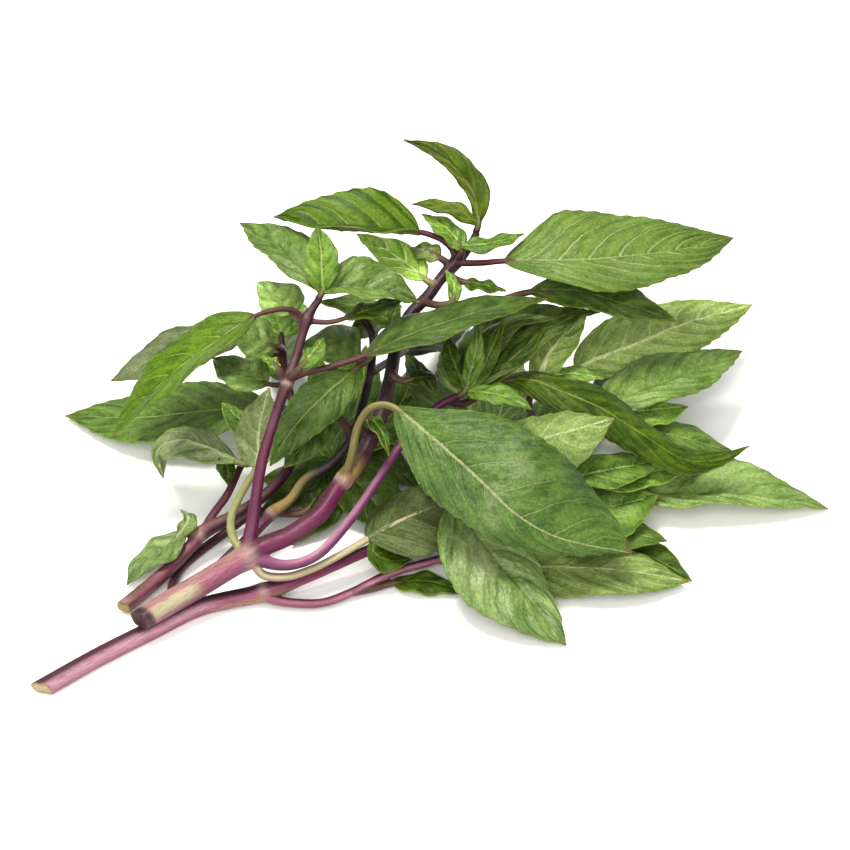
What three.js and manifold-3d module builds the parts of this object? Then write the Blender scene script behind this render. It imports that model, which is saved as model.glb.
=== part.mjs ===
// A cut bunch of Thai basil: leafy sprigs with purple stems, lying on a flat surface.
// Millimetres, +Z up. +X runs along the bunch from the cut ends to the far leaf tips,
// +Y points away from the viewer, and the origin is at the bottom centre of the bunch.
import * as THREE from "three";
import { mergeVertices } from "three/addons/utils/BufferGeometryUtils.js";
import Module from "manifold-3d";

const wasm = await Module();
wasm.setup();

// Real sizes of the plant.
const BLADE_THICKNESS = 0.75;
const PETIOLE_RADIUS = 0.95;
const RIB_DEPTH = 0.5;
const SLAB_SIZE = 600;
const SLAB_DEPTH = 20;
const TIP_HALF_WIDTH = 0.4;
const TOOTH_PITCH = 7;
const TOOTH_DEPTH = 0.55;
const TOOTH_LEAN = 0.66;
const WAVE_HEIGHT = 0.7;
const WAVE_COUNT = 2.2;
const WAVE_SHIFT_LEAF = 1.7;
const WAVE_SHIFT_SIDE = 2;
const STEM_SQUARENESS = 0.07;
const STEM_SIDES = 8;
const STEM_CORNERS = 4;
const PETIOLE_SIDES = 6;
const PETIOLE_TAPER = 0.25;
const RING_STEP = 9;
const PETIOLE_STEP = 6;
const GAP = 0.3;
const LENGTH_STEPS = 40;
const FRAMES_PER_RING = 4;
const WELD = 1e-4;
const CHORD_SHARE = 0.6;
const CHORD_FADE = 0.15;

// The blade is widest this far along, and rounds off with these two powers.
const BASE_POWER = 0.62;
const TIP_POWER = 0.98;
const WIDEST = BASE_POWER / (BASE_POWER + TIP_POWER);
const FULLNESS = WIDEST ** BASE_POWER * (1 - WIDEST) ** TIP_POWER;

// How the photograph was taken: the camera's height angle, its distance to the middle of
// the surface, its focal length in pixels, and the picture's middle pixel.
const ELEVATION = THREE.MathUtils.degToRad(40);
const DISTANCE = 573;
const FOCAL_PIXELS = 2007;
const MIDDLE_PIXEL = 425;
const SIGHT = new THREE.Vector3(0, Math.cos(ELEVATION), -Math.sin(ELEVATION));
const RIGHT = new THREE.Vector3(1, 0, 0);
const UP = new THREE.Vector3(0, Math.sin(ELEVATION), Math.cos(ELEVATION));
const EYE = SIGHT.clone().multiplyScalar(-DISTANCE);

// Colours: purple stems, green leaves, paler young ones.
const STEM = { color: 0x6e3454, roughness: 0.5, metalness: 0 };
const LEAF = { color: 0x4f7a32, roughness: 0.5, metalness: 0 };
const YOUNG = { color: 0x86a83c, roughness: 0.5, metalness: 0 };

// Each point is [pixel across, pixel down, height in mm], and on a stem its radius too.
// A stem's first branch starts at its cut end, and the others grow out of it.
const STEMS = {
  stem_front: [
    [[41, 689, 2, 2.3], [100, 656, 2, 2.3], [150, 631, 2, 2.3], [200, 607, 2.2, 2.2],
      [252, 595, 2.8, 2.2], [264, 592, 3.4, 2.5], [300, 580, 5, 1.5], [340, 563, 6, 1.4],
      [380, 545, 6.5, 1.4], [430, 522, 7, 1.4], [480, 500, 7.5, 1.4], [530, 474, 10, 1.3],
      [575, 448, 12.5, 1.3], [604, 425, 15, 1.2]],
    [[258, 594, 3.2, 1.4], [280, 601, 2.4, 1.2], [320, 603, 2, 1.1], [350, 593, 2.2, 1.1],
      [380, 578, 2.8, 1.1], [400, 570, 3, 1.1], [440, 559, 3.6, 1.1], [480, 546, 5.4, 1.1],
      [530, 527, 6.4, 1.1], [590, 508, 5.6, 1]],
  ],
  stem_thick: [
    [[139, 621, 8, 2.7], [160, 608, 8.5, 2.9], [200, 585, 10, 2.9], [236, 563, 13, 2.9],
      [249, 556, 14, 3.3], [262, 547, 15, 2.5], [290, 535, 17, 2.3], [320, 513, 20, 2.2],
      [338, 487, 23, 2.1], [344, 480, 24, 2.5], [362, 456, 26.5, 2.0], [379, 419, 30.5, 2.0],
      [390, 380, 34.5, 1.8], [396, 348, 38, 1.7], [409, 316, 42, 1.6], [428, 296, 45.4, 1.6],
      [440, 280, 48, 1.5], [456, 262, 50, 1.9], [472, 242, 54, 1.1], [477, 232, 56, 1.0]],
    [[246, 557, 14, 2.1], [253, 520, 19, 1.7], [257, 490, 24, 1.5], [262, 461, 29, 1.5],
      [274, 420, 35.5, 1.4], [281, 399, 39.5, 1.4], [287, 384, 42, 1.8], [296, 357, 46, 1.2],
      [303, 332, 50, 1.3], [306, 321, 52, 1.7], [313, 308, 54, 1.1], [320, 298, 56, 1.0]],
    [[254, 558, 13.5, 1.8], [280, 565, 12, 1.4], [300, 563, 12, 1.3], [320, 553, 13, 1.3],
      [350, 520, 17, 1.2], [377, 481, 22, 1.1], [403, 442, 26, 1.1], [430, 412, 29, 1.1],
      [448, 400, 31, 1.1], [458, 396, 32, 1.1]],
  ],
  stem_left: [
    [[123, 608, 2.4, 2.0], [160, 577, 4, 1.8], [190, 547, 6.4, 1.7], [201, 534, 8, 2.1],
      [235, 515, 10, 1.5], [265, 495, 12, 1.5], [290, 465, 14, 1.4], [300, 430, 16, 1.3],
      [292, 400, 19, 1.2], [285, 375, 23, 1.2], [283, 350, 27, 1.1]],
    [[199, 537, 7.5, 1.2], [214, 513, 9.5, 1.1], [227, 495, 10.5, 1.1], [239, 470, 12, 1],
      [252, 445, 13, 1]],
  ],
  stem_thin: [
    [[172, 601, 1.6, 1.2], [172, 586, 1.6, 1.2], [181, 568, 1.6, 1.2], [200, 551, 1.8, 1.2],
      [225, 533, 2.6, 1.2], [245, 518, 4, 1.2], [262, 508, 5, 1.1]],
  ],
  stem_back: [
    [[184, 595, 2.2, 1.6], [212, 573, 3, 1.6], [235, 552, 5, 1.6], [262, 524, 9, 1.5],
      [272, 513, 10.5, 1.8], [290, 500, 12, 1.3], [305, 480, 15, 1.3], [330, 465, 17, 1.3],
      [350, 440, 20, 1.2], [364, 400, 25, 1.2], [372, 360, 31, 1.2], [372, 335, 36, 1.1],
      [360, 314, 42, 1.1]],
  ],
};

// Each leaf grows on a stem: its stalk leaves the stem at the first point of petiole and
// ends where the rib of the blade starts. seen is how far the left and the right edge
// stand off the rib as the viewer sees them, in mm, and lift is how far they rise. Where
// tipSeen and tipLift are given, the blade turns evenly to them toward its tip. also holds
// a second blade, which grows out of the base of the first.
const LEAVES = [
  // Front and lower right.
  { name: "leaf_front_large", stem: "stem_thick",
    petiole: [[344, 480, 24], [351, 458, 30], [359, 424, 37], [371, 408, 41], [384, 405, 42]],
    rib: [[396, 409, 42], [435, 440, 39.5], [480, 480, 34], [515, 513, 28], [555, 536, 22],
      [632, 553, 14]],
    seen: [8.5, 15], lift: [6, -6], tipSeen: [31, 5], tipLift: [12, -6] },
  { name: "leaf_front_low", stem: "stem_thick", petiole: [[402, 440, 26], [425, 468, 23]],
    rib: [[452, 503, 19], [484, 546, 13], [520, 588, 7.5], [566, 645, 1]],
    seen: [9, 11], lift: [1, -1], tipSeen: [8, 15] },
  { name: "leaf_low_pale", stem: "stem_front", petiole: [[440, 559, 3.6], [456, 564, 2.8]],
    rib: [[472, 567, 2.6], [560, 568, 3.6], [630, 572, 4.6], [688, 582, 2.2]],
    seen: [8, 4.5], lift: [0.6, 0], tipSeen: [8, 9] },
  { name: "leaf_low_dark", stem: "stem_front", petiole: [[560, 518, 6], [574, 532, 3]],
    rib: [[590, 543, 2], [650, 557, 1.6], [692, 581, 1]],
    seen: [4.5, 4.5], lift: [0.4, 0.2] },
  { name: "leaf_low_small", stem: "stem_front", petiole: [[516, 533, 6.2], [540, 527, 8.4]],
    rib: [[562, 525, 8.6], [620, 532, 7.8], [667, 541, 5.4]],
    seen: [5.5, 4.5], lift: [1, 0] },
  { name: "leaf_low_bright", stem: "stem_front", petiole: [[520, 480, 9.5], [530, 502, 11.4]],
    rib: [[548, 515, 12], [600, 509, 11.4], [658, 496, 9.6]],
    seen: [7.5, 8.5], lift: [0, -1] },
  { name: "leaf_right_inner", stem: "stem_front",
    petiole: [[556, 458, 11.5], [553, 468, 15], [558, 476, 16.8]],
    rib: [[569, 478, 17.6], [610, 470, 18], [661, 461, 15]],
    seen: [4.5, 4.5], lift: [1, 0] },
  { name: "leaf_right_long", stem: "stem_front", petiole: [[584, 510, 5.8], [600, 501, 4.6]],
    rib: [[616, 494, 4.6], [660, 494, 5], [740, 494, 4.6], [828, 509, 1]],
    seen: [10, 3.2], lift: [2, 3] },
  { name: "leaf_right_slim", stem: "stem_front", petiole: [[577, 447, 12.6], [583, 467, 14.2]],
    rib: [[598, 480, 13.8], [622, 481, 13.6], [650, 473, 13], [700, 461, 10]],
    seen: [3, 3.5], lift: [1, 0] },
  // Right side, from the hooked leaf upward.
  { name: "leaf_right_hooked", stem: "stem_thick",
    petiole: [[446, 401, 31], [464, 403, 28.4], [484, 392, 29.6]],
    rib: [[504, 381, 31], [530, 380, 32], [562, 392, 32], [600, 408, 30], [640, 433, 25],
      [685, 460, 18], [720, 459, 16], [750, 446, 18]],
    seen: [4.8, 6.4], lift: [-1.5, -4] },
  { name: "leaf_right_shaded", stem: "stem_front", petiole: [[580, 445, 12.8], [598, 436, 15]],
    rib: [[612, 428, 16], [665, 434, 14.5], [735, 453, 9]],
    seen: [4.6, 5], lift: [0, 0] },
  { name: "leaf_right_small", stem: "stem_front", petiole: [[598, 430, 14.5], [607, 422, 16.5]],
    rib: [[617, 415, 17.5], [645, 411, 18], [688, 407, 16]],
    seen: [3, 4.5], lift: [0.5, 0] },
  { name: "leaf_right_upper", stem: "stem_front", petiole: [[603, 426, 15], [596, 418, 17]],
    rib: [[600, 410, 19.5], [640, 391, 22], [690, 373, 22], [742, 351, 18]],
    seen: [8, 5.5], lift: [0, 1] },
  { name: "leaf_right_underside", stem: "stem_front",
    petiole: [[575, 448, 12.5], [560, 420, 14], [562, 392, 17]],
    rib: [[578, 370, 19], [640, 343, 21], [680, 326, 21], [752, 305, 17]],
    seen: [9.5, 9.5], lift: [0, -4] },
  { name: "leaf_front_fold", stem: "stem_front", petiole: [[496, 492, 8.2], [478, 472, 16]],
    rib: [[490, 455, 21], [553, 437, 27], [614, 419, 32.5]],
    seen: [6.5, 11.5], lift: [2, -6] },
  { name: "leaf_under_front", stem: "stem_thick",
    petiole: [[252, 558, 13.6], [262, 574, 9.5], [285, 577, 8.6], [312, 569, 9], [340, 555, 10.5]],
    rib: [[368, 539, 12], [400, 522, 12.5], [450, 503, 12.4], [500, 494, 12.4]],
    seen: [7, 10.5], lift: [1, -1.5],
    also: [
      { rib: [[374, 541, 12], [374, 553, 10.4], [390, 561, 8], [412, 560, 7]],
        seen: [2.6, 3], lift: [0, 0] },
    ] },
  { name: "leaf_shaded_low", stem: "stem_front", petiole: [[352, 592, 2.2], [374, 588, 1.9]],
    rib: [[393, 583, 1.8], [430, 582, 1.5], [468, 593, 1]],
    seen: [2.2, 3], lift: [0.4, 0.2] },
  // Top shoot and the leaves below it.
  { name: "leaf_top_right", stem: "stem_thick", petiole: [[456, 263, 50], [480, 263, 52]],
    rib: [[505, 261, 53], [560, 261, 53], [600, 259, 52], [680, 250, 48], [733, 238, 45]],
    seen: [16, 9.5], lift: [4, 0], tipSeen: [12, 9.5], tipLift: [4, 0] },
  { name: "leaf_top_right_under", stem: "stem_thick",
    petiole: [[399, 338, 38.8], [440, 320, 42], [490, 304, 42]],
    rib: [[530, 292, 43], [575, 291, 44], [620, 303, 43], [676, 321, 38]],
    seen: [4, 4.6], lift: [0, -1], tipSeen: [9, 5], tipLift: [0, -1] },
  { name: "leaf_top_left", stem: "stem_thick",
    petiole: [[456, 262, 50], [452, 249, 53], [442, 240, 55], [431, 235, 56.5]],
    rib: [[419, 232, 57.5], [370, 230, 60], [320, 227, 60.5], [274, 217, 61]],
    seen: [1, 11.5], lift: [6, 7] },
  { name: "leaf_top_underside", stem: "stem_thick", petiole: [[451, 267, 49.5], [446, 262, 51]],
    rib: [[440, 258, 52], [428, 252, 53], [410, 248, 53]],
    seen: [2.6, 3], lift: [0, 0] },
  { name: "leaf_top_middle", stem: "stem_thick", petiole: [[438, 284, 46.6], [431, 283, 48.2]],
    rib: [[425, 279, 49], [400, 260, 50.5], [357, 234, 54]],
    seen: [4, 5], lift: [0, 1] },
  { name: "leaf_top_dark", stem: "stem_thick", petiole: [[446, 272, 48.6], [455, 279, 48]],
    rib: [[464, 282, 48.4], [482, 285, 49], [506, 291, 48]],
    seen: [1.6, 2], lift: [0, 0] },
  { name: "leaf_top_bud", stem: "stem_thick", petiole: [[420, 301, 44.4], [440, 305, 46]],
    rib: [[452, 302, 47], [454, 286, 50], [446, 270, 52]],
    seen: [1.8, 2], lift: [0, 0] },
  { name: "leaf_top_light", stem: "stem_thick", petiole: [[457, 261, 50.4], [461, 255, 53]],
    rib: [[462, 250, 54.5], [449, 231, 57.5], [422, 214, 60]],
    seen: [3, 3.2], lift: [0, 0], young: true,
    also: [
      { rib: [[461, 245, 55.4], [472, 246, 56], [497, 242, 57], [524, 234, 57]],
        seen: [2.2, 2.2], lift: [0, 0] },
    ] },
  // Middle.
  { name: "leaf_middle_long", stem: "stem_thick",
    petiole: [[286, 381, 42], [305, 373, 44], [325, 368, 45], [350, 361, 46]],
    rib: [[366, 355, 47], [410, 335, 50], [460, 318, 51], [510, 304, 50], [548, 299, 48]],
    seen: [5.2, 4], lift: [-2, 2] },
  { name: "leaf_middle_hanging", stem: "stem_back", petiole: [[372, 350, 33], [368, 359, 34]],
    rib: [[358, 367, 35], [322, 398, 32], [292, 430, 27], [270, 466, 22]],
    seen: [7, 6], lift: [-2, 2],
    also: [
      { rib: [[354, 368, 35.2], [342, 358, 37], [320, 350, 38], [299, 346, 38]],
        seen: [3, 7], lift: [0, 0], tipSeen: [3, 12] },
    ] },
  { name: "leaf_middle_lower", stem: "stem_back",
    petiole: [[350, 440, 20], [345, 424, 22.4], [337, 417, 23.6]],
    rib: [[329, 421, 23.6], [309, 439, 21.6], [284, 468, 18]],
    seen: [4.6, 4.6], lift: [-1, 1] },
  // Left side.
  { name: "leaf_left_bright", stem: "stem_thick",
    petiole: [[304, 320, 51.5], [295, 311, 54], [284, 309, 55], [270, 311, 55]],
    rib: [[255, 316, 54], [215, 343, 50], [180, 368, 44], [140, 405, 35], [112, 437, 28]],
    seen: [4, 8], lift: [5, 0] },
  { name: "leaf_left_round", stem: "stem_left", petiole: [[284, 362, 25], [262, 350, 29]],
    rib: [[240, 338, 32], [175, 350, 32], [111, 381, 27]],
    seen: [6, 6], lift: [0, 1] },
  { name: "leaf_left_far", stem: "stem_left", petiole: [[297, 415, 17.4], [281, 408, 15]],
    rib: [[264, 407, 13], [200, 412, 10], [140, 418, 6], [65, 416, 1.2]],
    seen: [8, 8.5], lift: [0, 1] },
  { name: "leaf_left_curled", stem: "stem_left",
    petiole: [[252, 446, 13], [253, 458, 16], [246, 464, 18.6]],
    rib: [[235, 461, 20], [205, 447, 20.5], [176, 441, 17], [158, 452, 11], [163, 478, 3]],
    seen: [3.6, 3.2], lift: [-1, 0], tipSeen: [5.5, 4.5],
    also: [
      { rib: [[223, 455.5, 20.3], [228, 472, 17], [228, 485, 14]],
        seen: [2.2, 2.6], lift: [0, 0] },
    ] },
  { name: "leaf_left_pale", stem: "stem_thick",
    petiole: [[247, 556, 14], [234, 540, 16], [231, 520, 17], [238, 500, 18], [248, 482, 18.5]],
    rib: [[256, 468, 19], [259, 430, 25], [269, 388, 30]],
    seen: [6.2, 4.6], lift: [0, -1] },
  { name: "leaf_left_small", stem: "stem_left", petiole: [[298, 440, 15.6], [280, 442, 17.5]],
    rib: [[264, 434, 18.5], [242, 421, 20], [222, 403, 21]],
    seen: [3.4, 2.8], lift: [0, 0] },
  { name: "leaf_left_grey", stem: "stem_left", petiole: [[287, 382, 22], [278, 385, 22.5]],
    rib: [[268, 384, 23], [243, 373, 24], [213, 358, 24]],
    seen: [5, 5], lift: [0, 0] },
  { name: "leaf_left_inner", stem: "stem_left", petiole: [[283, 352, 26.6], [280, 347, 31]],
    rib: [[275, 347, 33.5], [252, 339, 37], [226, 332, 39]],
    seen: [5, 6.5], lift: [-1, 1] },
  { name: "leaf_left_behind", stem: "stem_thick", petiole: [[303, 322, 51], [298, 319, 47.5]],
    rib: [[292, 314, 46], [276, 298, 48], [258, 282, 50]],
    seen: [4.6, 6.4], lift: [0, 0] },
  { name: "leaf_node_bud", stem: "stem_thick", petiole: [[286, 382, 42], [282, 376, 44]],
    rib: [[278, 369, 46], [272, 362, 47], [261, 357, 48]],
    seen: [1.2, 1.4], lift: [0, 0], young: true },
  { name: "leaf_node_young", stem: "stem_thick", petiole: [[288, 380, 42], [295, 374, 46]],
    rib: [[301, 367, 48.5], [311, 355, 51], [324, 338, 52]],
    seen: [1.8, 3], lift: [0, 0], young: true },
  { name: "leaf_shoot_side", stem: "stem_thick", petiole: [[304, 321, 51.5], [330, 322, 52]],
    rib: [[346, 318, 52], [375, 308, 51.5], [404, 300, 50]],
    seen: [2.2, 2.4], lift: [0, 0] },
  // Beside the middle shoot.
  { name: "leaf_shoot_low", stem: "stem_front", petiole: [[562, 456, 11.8], [530, 410, 19]],
    rib: [[535, 384, 23], [568, 374, 26], [604, 379, 27]],
    seen: [2.4, 2.4], lift: [0, 0],
    also: [
      { rib: [[537, 382, 23.5], [552, 350, 30], [586, 316, 34]],
        seen: [5, 5], lift: [0, -1] },
    ] },
  // Near the cut ends.
  { name: "leaf_cut_end", stem: "stem_left", petiole: [[200, 535, 8], [192, 533, 8.5]],
    rib: [[185, 534, 8.5], [160, 553, 6.5], [140, 566, 4], [127, 585, 1.2]],
    seen: [3.4, 4], lift: [1, 0],
    also: [
      { rib: [[177, 539, 7.8], [185, 527, 11], [189, 518, 12.4], [181, 510, 13]],
        seen: [1.8, 2.6], lift: [0, 0] },
    ] },
  // Shaded leaves inside the bunch and low ones behind it.
  { name: "leaf_inner_low", stem: "stem_back", petiole: [[273, 512, 10.6], [290, 514, 8]],
    rib: [[304, 512, 8.5], [318, 494, 11], [328, 474, 13]],
    seen: [2.6, 3], lift: [0, 0] },
  { name: "leaf_inner_curled", stem: "stem_thick", petiole: [[366, 437, 28], [360, 424, 32.6]],
    rib: [[366, 417, 35], [381, 431, 36], [389, 456, 33]],
    seen: [1.6, 1.8], lift: [0, 0] },
  { name: "leaf_inner_bright", stem: "stem_thick", petiole: [[390, 372, 35], [400, 380, 38]],
    rib: [[408, 381, 39.5], [424, 378, 40], [436, 396, 38]],
    seen: [2.4, 2], lift: [0, 0] },
  { name: "leaf_back_right", stem: "stem_front", petiole: [[570, 451, 12.2], [586, 424, 12]],
    rib: [[600, 402, 12], [630, 368, 7], [655, 335, 1]],
    seen: [6, 6], lift: [0, 0.5] },
  { name: "leaf_back_middle", stem: "stem_back", petiole: [[372, 372, 29], [388, 362, 25]],
    rib: [[404, 352, 20], [440, 334, 10], [470, 318, 1.2]],
    seen: [5, 5], lift: [0, 0.5] },
  { name: "leaf_back_left", stem: "stem_left", petiole: [[294, 405, 18.4], [288, 392, 15]],
    rib: [[284, 380, 12.5], [284, 350, 6], [293, 318, 1.2]],
    seen: [6, 6], lift: [0.5, 0.5] },
];

// Shoots: several leaves grown together on a short tip, young unless they are mature.
const SHOOTS = [
  { name: "shoot_left", axis: [[320, 296, 56.6, 1], [323, 291, 57.6, 0.9], [324, 287, 58.4, 0.6]],
    leaves: [
      { rib: [[323, 291, 57.6], [322, 275, 61], [321, 252, 65], [317, 226, 69]],
        seen: [4.6, 4.8], lift: [1, 1] },
      { rib: [[322, 292, 57.4], [306, 272, 59], [278, 248, 58.5], [240, 223, 57]],
        seen: [4.2, 8.5], lift: [2, 1] },
      { rib: [[323, 291, 57.6], [345, 288, 58], [385, 292, 56], [419, 303, 52]],
        seen: [8.5, 2.6], lift: [5, 3] },
    ] },
  { name: "shoot_top", axis: [[477, 229, 56.8, 1], [479, 223, 58, 0.9], [480, 216, 59.6, 0.6]],
    leaves: [
      { rib: [[479, 222, 58.2], [477, 200, 63], [461, 174, 69], [436, 153, 73], [404, 140, 75]],
        seen: [2.2, 4.4], lift: [-1, 4] },
      { rib: [[478, 224, 57.8], [464, 214, 60], [442, 206, 62], [412, 204, 63]],
        seen: [2.4, 2.2], lift: [0, 0] },
    ] },
  { name: "shoot_middle", axis: [[460, 395, 32.6, 1], [466, 391, 33.4, 1], [468, 385, 35, 0.7]],
    leaves: [
      { rib: [[467, 390, 33.8], [472, 370, 38], [476, 348, 43], [478, 325, 47]],
        seen: [2.6, 2.8], lift: [0, 0] },
      { rib: [[467, 391, 33.6], [485, 393, 36], [508, 398, 37], [532, 410, 37]],
        seen: [3, 2.6], lift: [0, 0] },
      { rib: [[466, 390, 33.8], [458, 372, 36], [450, 352, 39], [448, 335, 41]],
        seen: [3.4, 3.4], lift: [-1, 0] },
      { rib: [[468, 389, 34], [480, 372, 38], [492, 348, 43], [503, 320, 46]],
        seen: [2.2, 2.6], lift: [0, -1] },
      { rib: [[468, 390, 33.8], [495, 372, 36], [520, 352, 39], [546, 327, 41]],
        seen: [2.8, 3.2], lift: [0, -1] },
      { rib: [[468, 390, 33.8], [484, 352, 38], [512, 323, 41], [556, 319, 41]],
        seen: [3, 3.4], lift: [0, 0] },
      { rib: [[468, 390, 33.8], [500, 362, 37], [540, 333, 39], [590, 310, 39]],
        seen: [4, 4], lift: [0, 0] },
      { rib: [[468, 390, 33.8], [484, 352, 36], [525, 322, 38], [600, 312, 39]],
        seen: [7, 4], lift: [0, 0] },
    ] },
  // Shaded side shoots, low in the bunch.
  { name: "shoot_under", mature: true,
    axis: [[330, 465, 15.9, 0.9], [332, 462, 12.5, 0.9], [336, 456, 9, 0.7]],
    leaves: [
      { rib: [[334, 459, 10.5], [330, 430, 6], [322, 390, 3.5], [318, 355, 1.2]],
        seen: [7, 7], lift: [0, 0] },
      { rib: [[335, 458, 10.5], [350, 425, 7], [362, 385, 4], [366, 345, 1.2]],
        seen: [7, 7], lift: [0, 0] },
      { rib: [[336, 457, 10.5], [368, 435, 8], [400, 405, 4.5], [416, 365, 1.2]],
        seen: [7, 7], lift: [0, 0] },
      { rib: [[333, 460, 10.5], [315, 468, 7.5], [290, 476, 4.5], [262, 480, 1.5]],
        seen: [5, 5], lift: [0, 0] },
      { rib: [[336, 457, 10.5], [355, 480, 8], [378, 508, 5], [392, 540, 1.6]],
        seen: [8, 8], lift: [0, 0] },
      { rib: [[335, 459, 10.5], [335, 490, 6.5], [322, 515, 3.5], [292, 545, 1.2]],
        seen: [5, 4.4], lift: [0, 0] },
      { rib: [[333, 460, 10.5], [310, 478, 7], [285, 498, 4], [258, 520, 1.2]],
        seen: [5, 5], lift: [0, 0] },
      { rib: [[336, 457, 10.5], [365, 455, 8], [395, 468, 5], [420, 490, 2]],
        seen: [5, 5], lift: [0, 0] },
    ] },
  { name: "shoot_far", mature: true,
    axis: [[480, 494.8, 7.5, 0.9], [481, 481, 7.5, 0.9], [484, 466, 7, 0.7]],
    leaves: [
      { rib: [[483, 472, 7.3], [470, 430, 5.5], [453, 380, 3.5], [446, 335, 1.2]],
        seen: [6.5, 6.5], lift: [0, 0] },
      { rib: [[483, 472, 7.3], [495, 430, 6], [508, 385, 4], [515, 340, 1.2]],
        seen: [6.5, 6.5], lift: [0, 0] },
      { rib: [[484, 470, 7.2], [520, 440, 7], [558, 405, 6], [580, 365, 4]],
        seen: [6, 6], lift: [0, 0] },
      { rib: [[483, 472, 7.3], [455, 430, 8], [425, 385, 8], [405, 350, 7]],
        seen: [6, 6], lift: [0, 0] },
    ] },
  { name: "shoot_behind_left", mature: true,
    axis: [[282.8, 347.4, 27.5, 0.9], [282, 340, 28.6, 0.9], [281, 333, 29.6, 0.7]],
    leaves: [
      { rib: [[281, 334, 29.4], [268, 349, 24], [254, 365, 18], [240, 380, 12]],
        seen: [6, 6], lift: [0, 0] },
      { rib: [[281.5, 336, 29], [292, 320, 31], [300, 300, 30]],
        seen: [4.5, 4.5], lift: [0, 0] },
      { rib: [[282, 337, 29], [276, 315, 33], [270, 296, 36]],
        seen: [5, 5], lift: [0, 0] },
    ] },
  { name: "shoot_upper", mature: true,
    axis: [[397, 325, 40.6, 0.8], [393, 324, 41, 0.8], [388, 322, 41.4, 0.7]],
    leaves: [
      { rib: [[391, 323, 41.2], [377, 322, 33], [360, 326, 29], [346, 336, 27]],
        seen: [2.4, 6], lift: [0, 0], tipSeen: [7, 5] },
      { rib: [[391, 323, 41.2], [394, 316, 45], [399, 301, 48]],
        seen: [1.6, 2], lift: [0, 0] },
      { rib: [[391, 323, 41.2], [375, 312, 45], [350, 305, 46.5], [318, 302, 47]],
        seen: [3, 3], lift: [0, 0] },
    ] },
];

// The point in space seen at a pixel, at a given height above the surface.
function place([across, down, height]) {
  const ray = SIGHT.clone();
  ray.addScaledVector(RIGHT, (across - MIDDLE_PIXEL) / FOCAL_PIXELS);
  ray.addScaledVector(UP, (MIDDLE_PIXEL - down) / FOCAL_PIXELS);
  return EYE.clone().addScaledVector(ray, (height - EYE.z) / ray.z);
}

function curveThrough(points) {
  return new THREE.CatmullRomCurve3(points.map(place), false, "centripetal");
}

function asGeometry(points, faces) {
  const geometry = new THREE.BufferGeometry().setFromPoints(points);
  geometry.setIndex(faces.flat());
  return geometry;
}

function toSolid(geometry) {
  const merged = mergeVertices(geometry, WELD);
  return new wasm.Manifold(new wasm.Mesh({
    numProp: 3,
    vertProperties: new Float32Array(merged.attributes.position.array),
    triVerts: new Uint32Array(merged.index.array),
  }));
}

function toGeometry(solid) {
  const mesh = solid.getMesh();
  const geometry = new THREE.BufferGeometry();
  geometry.setAttribute("position", new THREE.BufferAttribute(mesh.vertProperties, 3));
  geometry.setIndex(new THREE.BufferAttribute(mesh.triVerts, 1));
  return geometry;
}

function unite(geometries) {
  return toGeometry(geometries.map(toSolid).reduce((all, next) => all.add(next)));
}

// A tapering round or squarish rod along a curve. radiusAt gives its radius from 0 to 1.
function rod(curve, radiusAt, sides, step, squareness, from, to) {
  const count = Math.max(2, Math.round((curve.getLength() * (to - from)) / step));
  const frames = curve.computeFrenetFrames(count * FRAMES_PER_RING, false);
  const points = [];
  const faces = [];
  for (let ring = 0; ring <= count; ring += 1) {
    const along = from + ((to - from) * ring) / count;
    const centre = curve.getPointAt(along);
    const frame = Math.round(along * count * FRAMES_PER_RING);
    for (let side = 0; side < sides; side += 1) {
      const turn = (2 * Math.PI * side) / sides;
      const radius = radiusAt(along) * (1 + squareness * Math.cos(STEM_CORNERS * turn));
      points.push(centre.clone()
        .addScaledVector(frames.normals[frame], radius * Math.cos(turn))
        .addScaledVector(frames.binormals[frame], radius * Math.sin(turn)));
      if (ring < count) {
        const here = ring * sides + side;
        const beside = ring * sides + ((side + 1) % sides);
        faces.push([here, beside, here + sides], [beside, beside + sides, here + sides]);
      }
    }
  }
  const last = count * sides;
  for (let side = 1; side < sides - 1; side += 1) {
    faces.push([0, side + 1, side], [last, last + side, last + side + 1]);
  }
  return asGeometry(points, faces);
}

// A branch keeps the radius that is named at each of its points.
function branch(points) {
  const curve = curveThrough(points);
  const steps = points.length - 1;
  const radiusAt = (along) => {
    const position = curve.getUtoTmapping(along) * steps;
    const index = Math.min(Math.floor(position), steps - 1);
    return THREE.MathUtils.lerp(points[index][3], points[index + 1][3], position - index);
  };
  return rod(curve, radiusAt, STEM_SIDES, RING_STEP, STEM_SQUARENESS, 0, 1);
}

// Stalk and rib are one curve, so that the blade goes on where the stalk points. start is
// the share of its length where the blade begins.
function leafLine(leaf) {
  const stalk = leaf.petiole ?? [];
  const points = [...stalk, ...leaf.rib];
  const curve = curveThrough(points);
  const divisions = LENGTH_STEPS * (points.length - 1);
  const lengths = curve.getLengths(divisions);
  return { curve, start: lengths[LENGTH_STEPS * stalk.length] / lengths[divisions] };
}

// A leaf's stalk, from the axis of its stem to just short of the blade.
function petiole(leaf) {
  const { curve, start } = leafLine(leaf);
  const end = start - GAP / curve.getLength();
  const radiusAt = (along) => PETIOLE_RADIUS * (1 + PETIOLE_TAPER * (1 - along / start));
  return rod(curve, radiusAt, PETIOLE_SIDES, PETIOLE_STEP, 0, 0, end);
}

function fullness(along) {
  return (along ** BASE_POWER * (1 - along) ** TIP_POWER) / FULLNESS;
}

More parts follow.
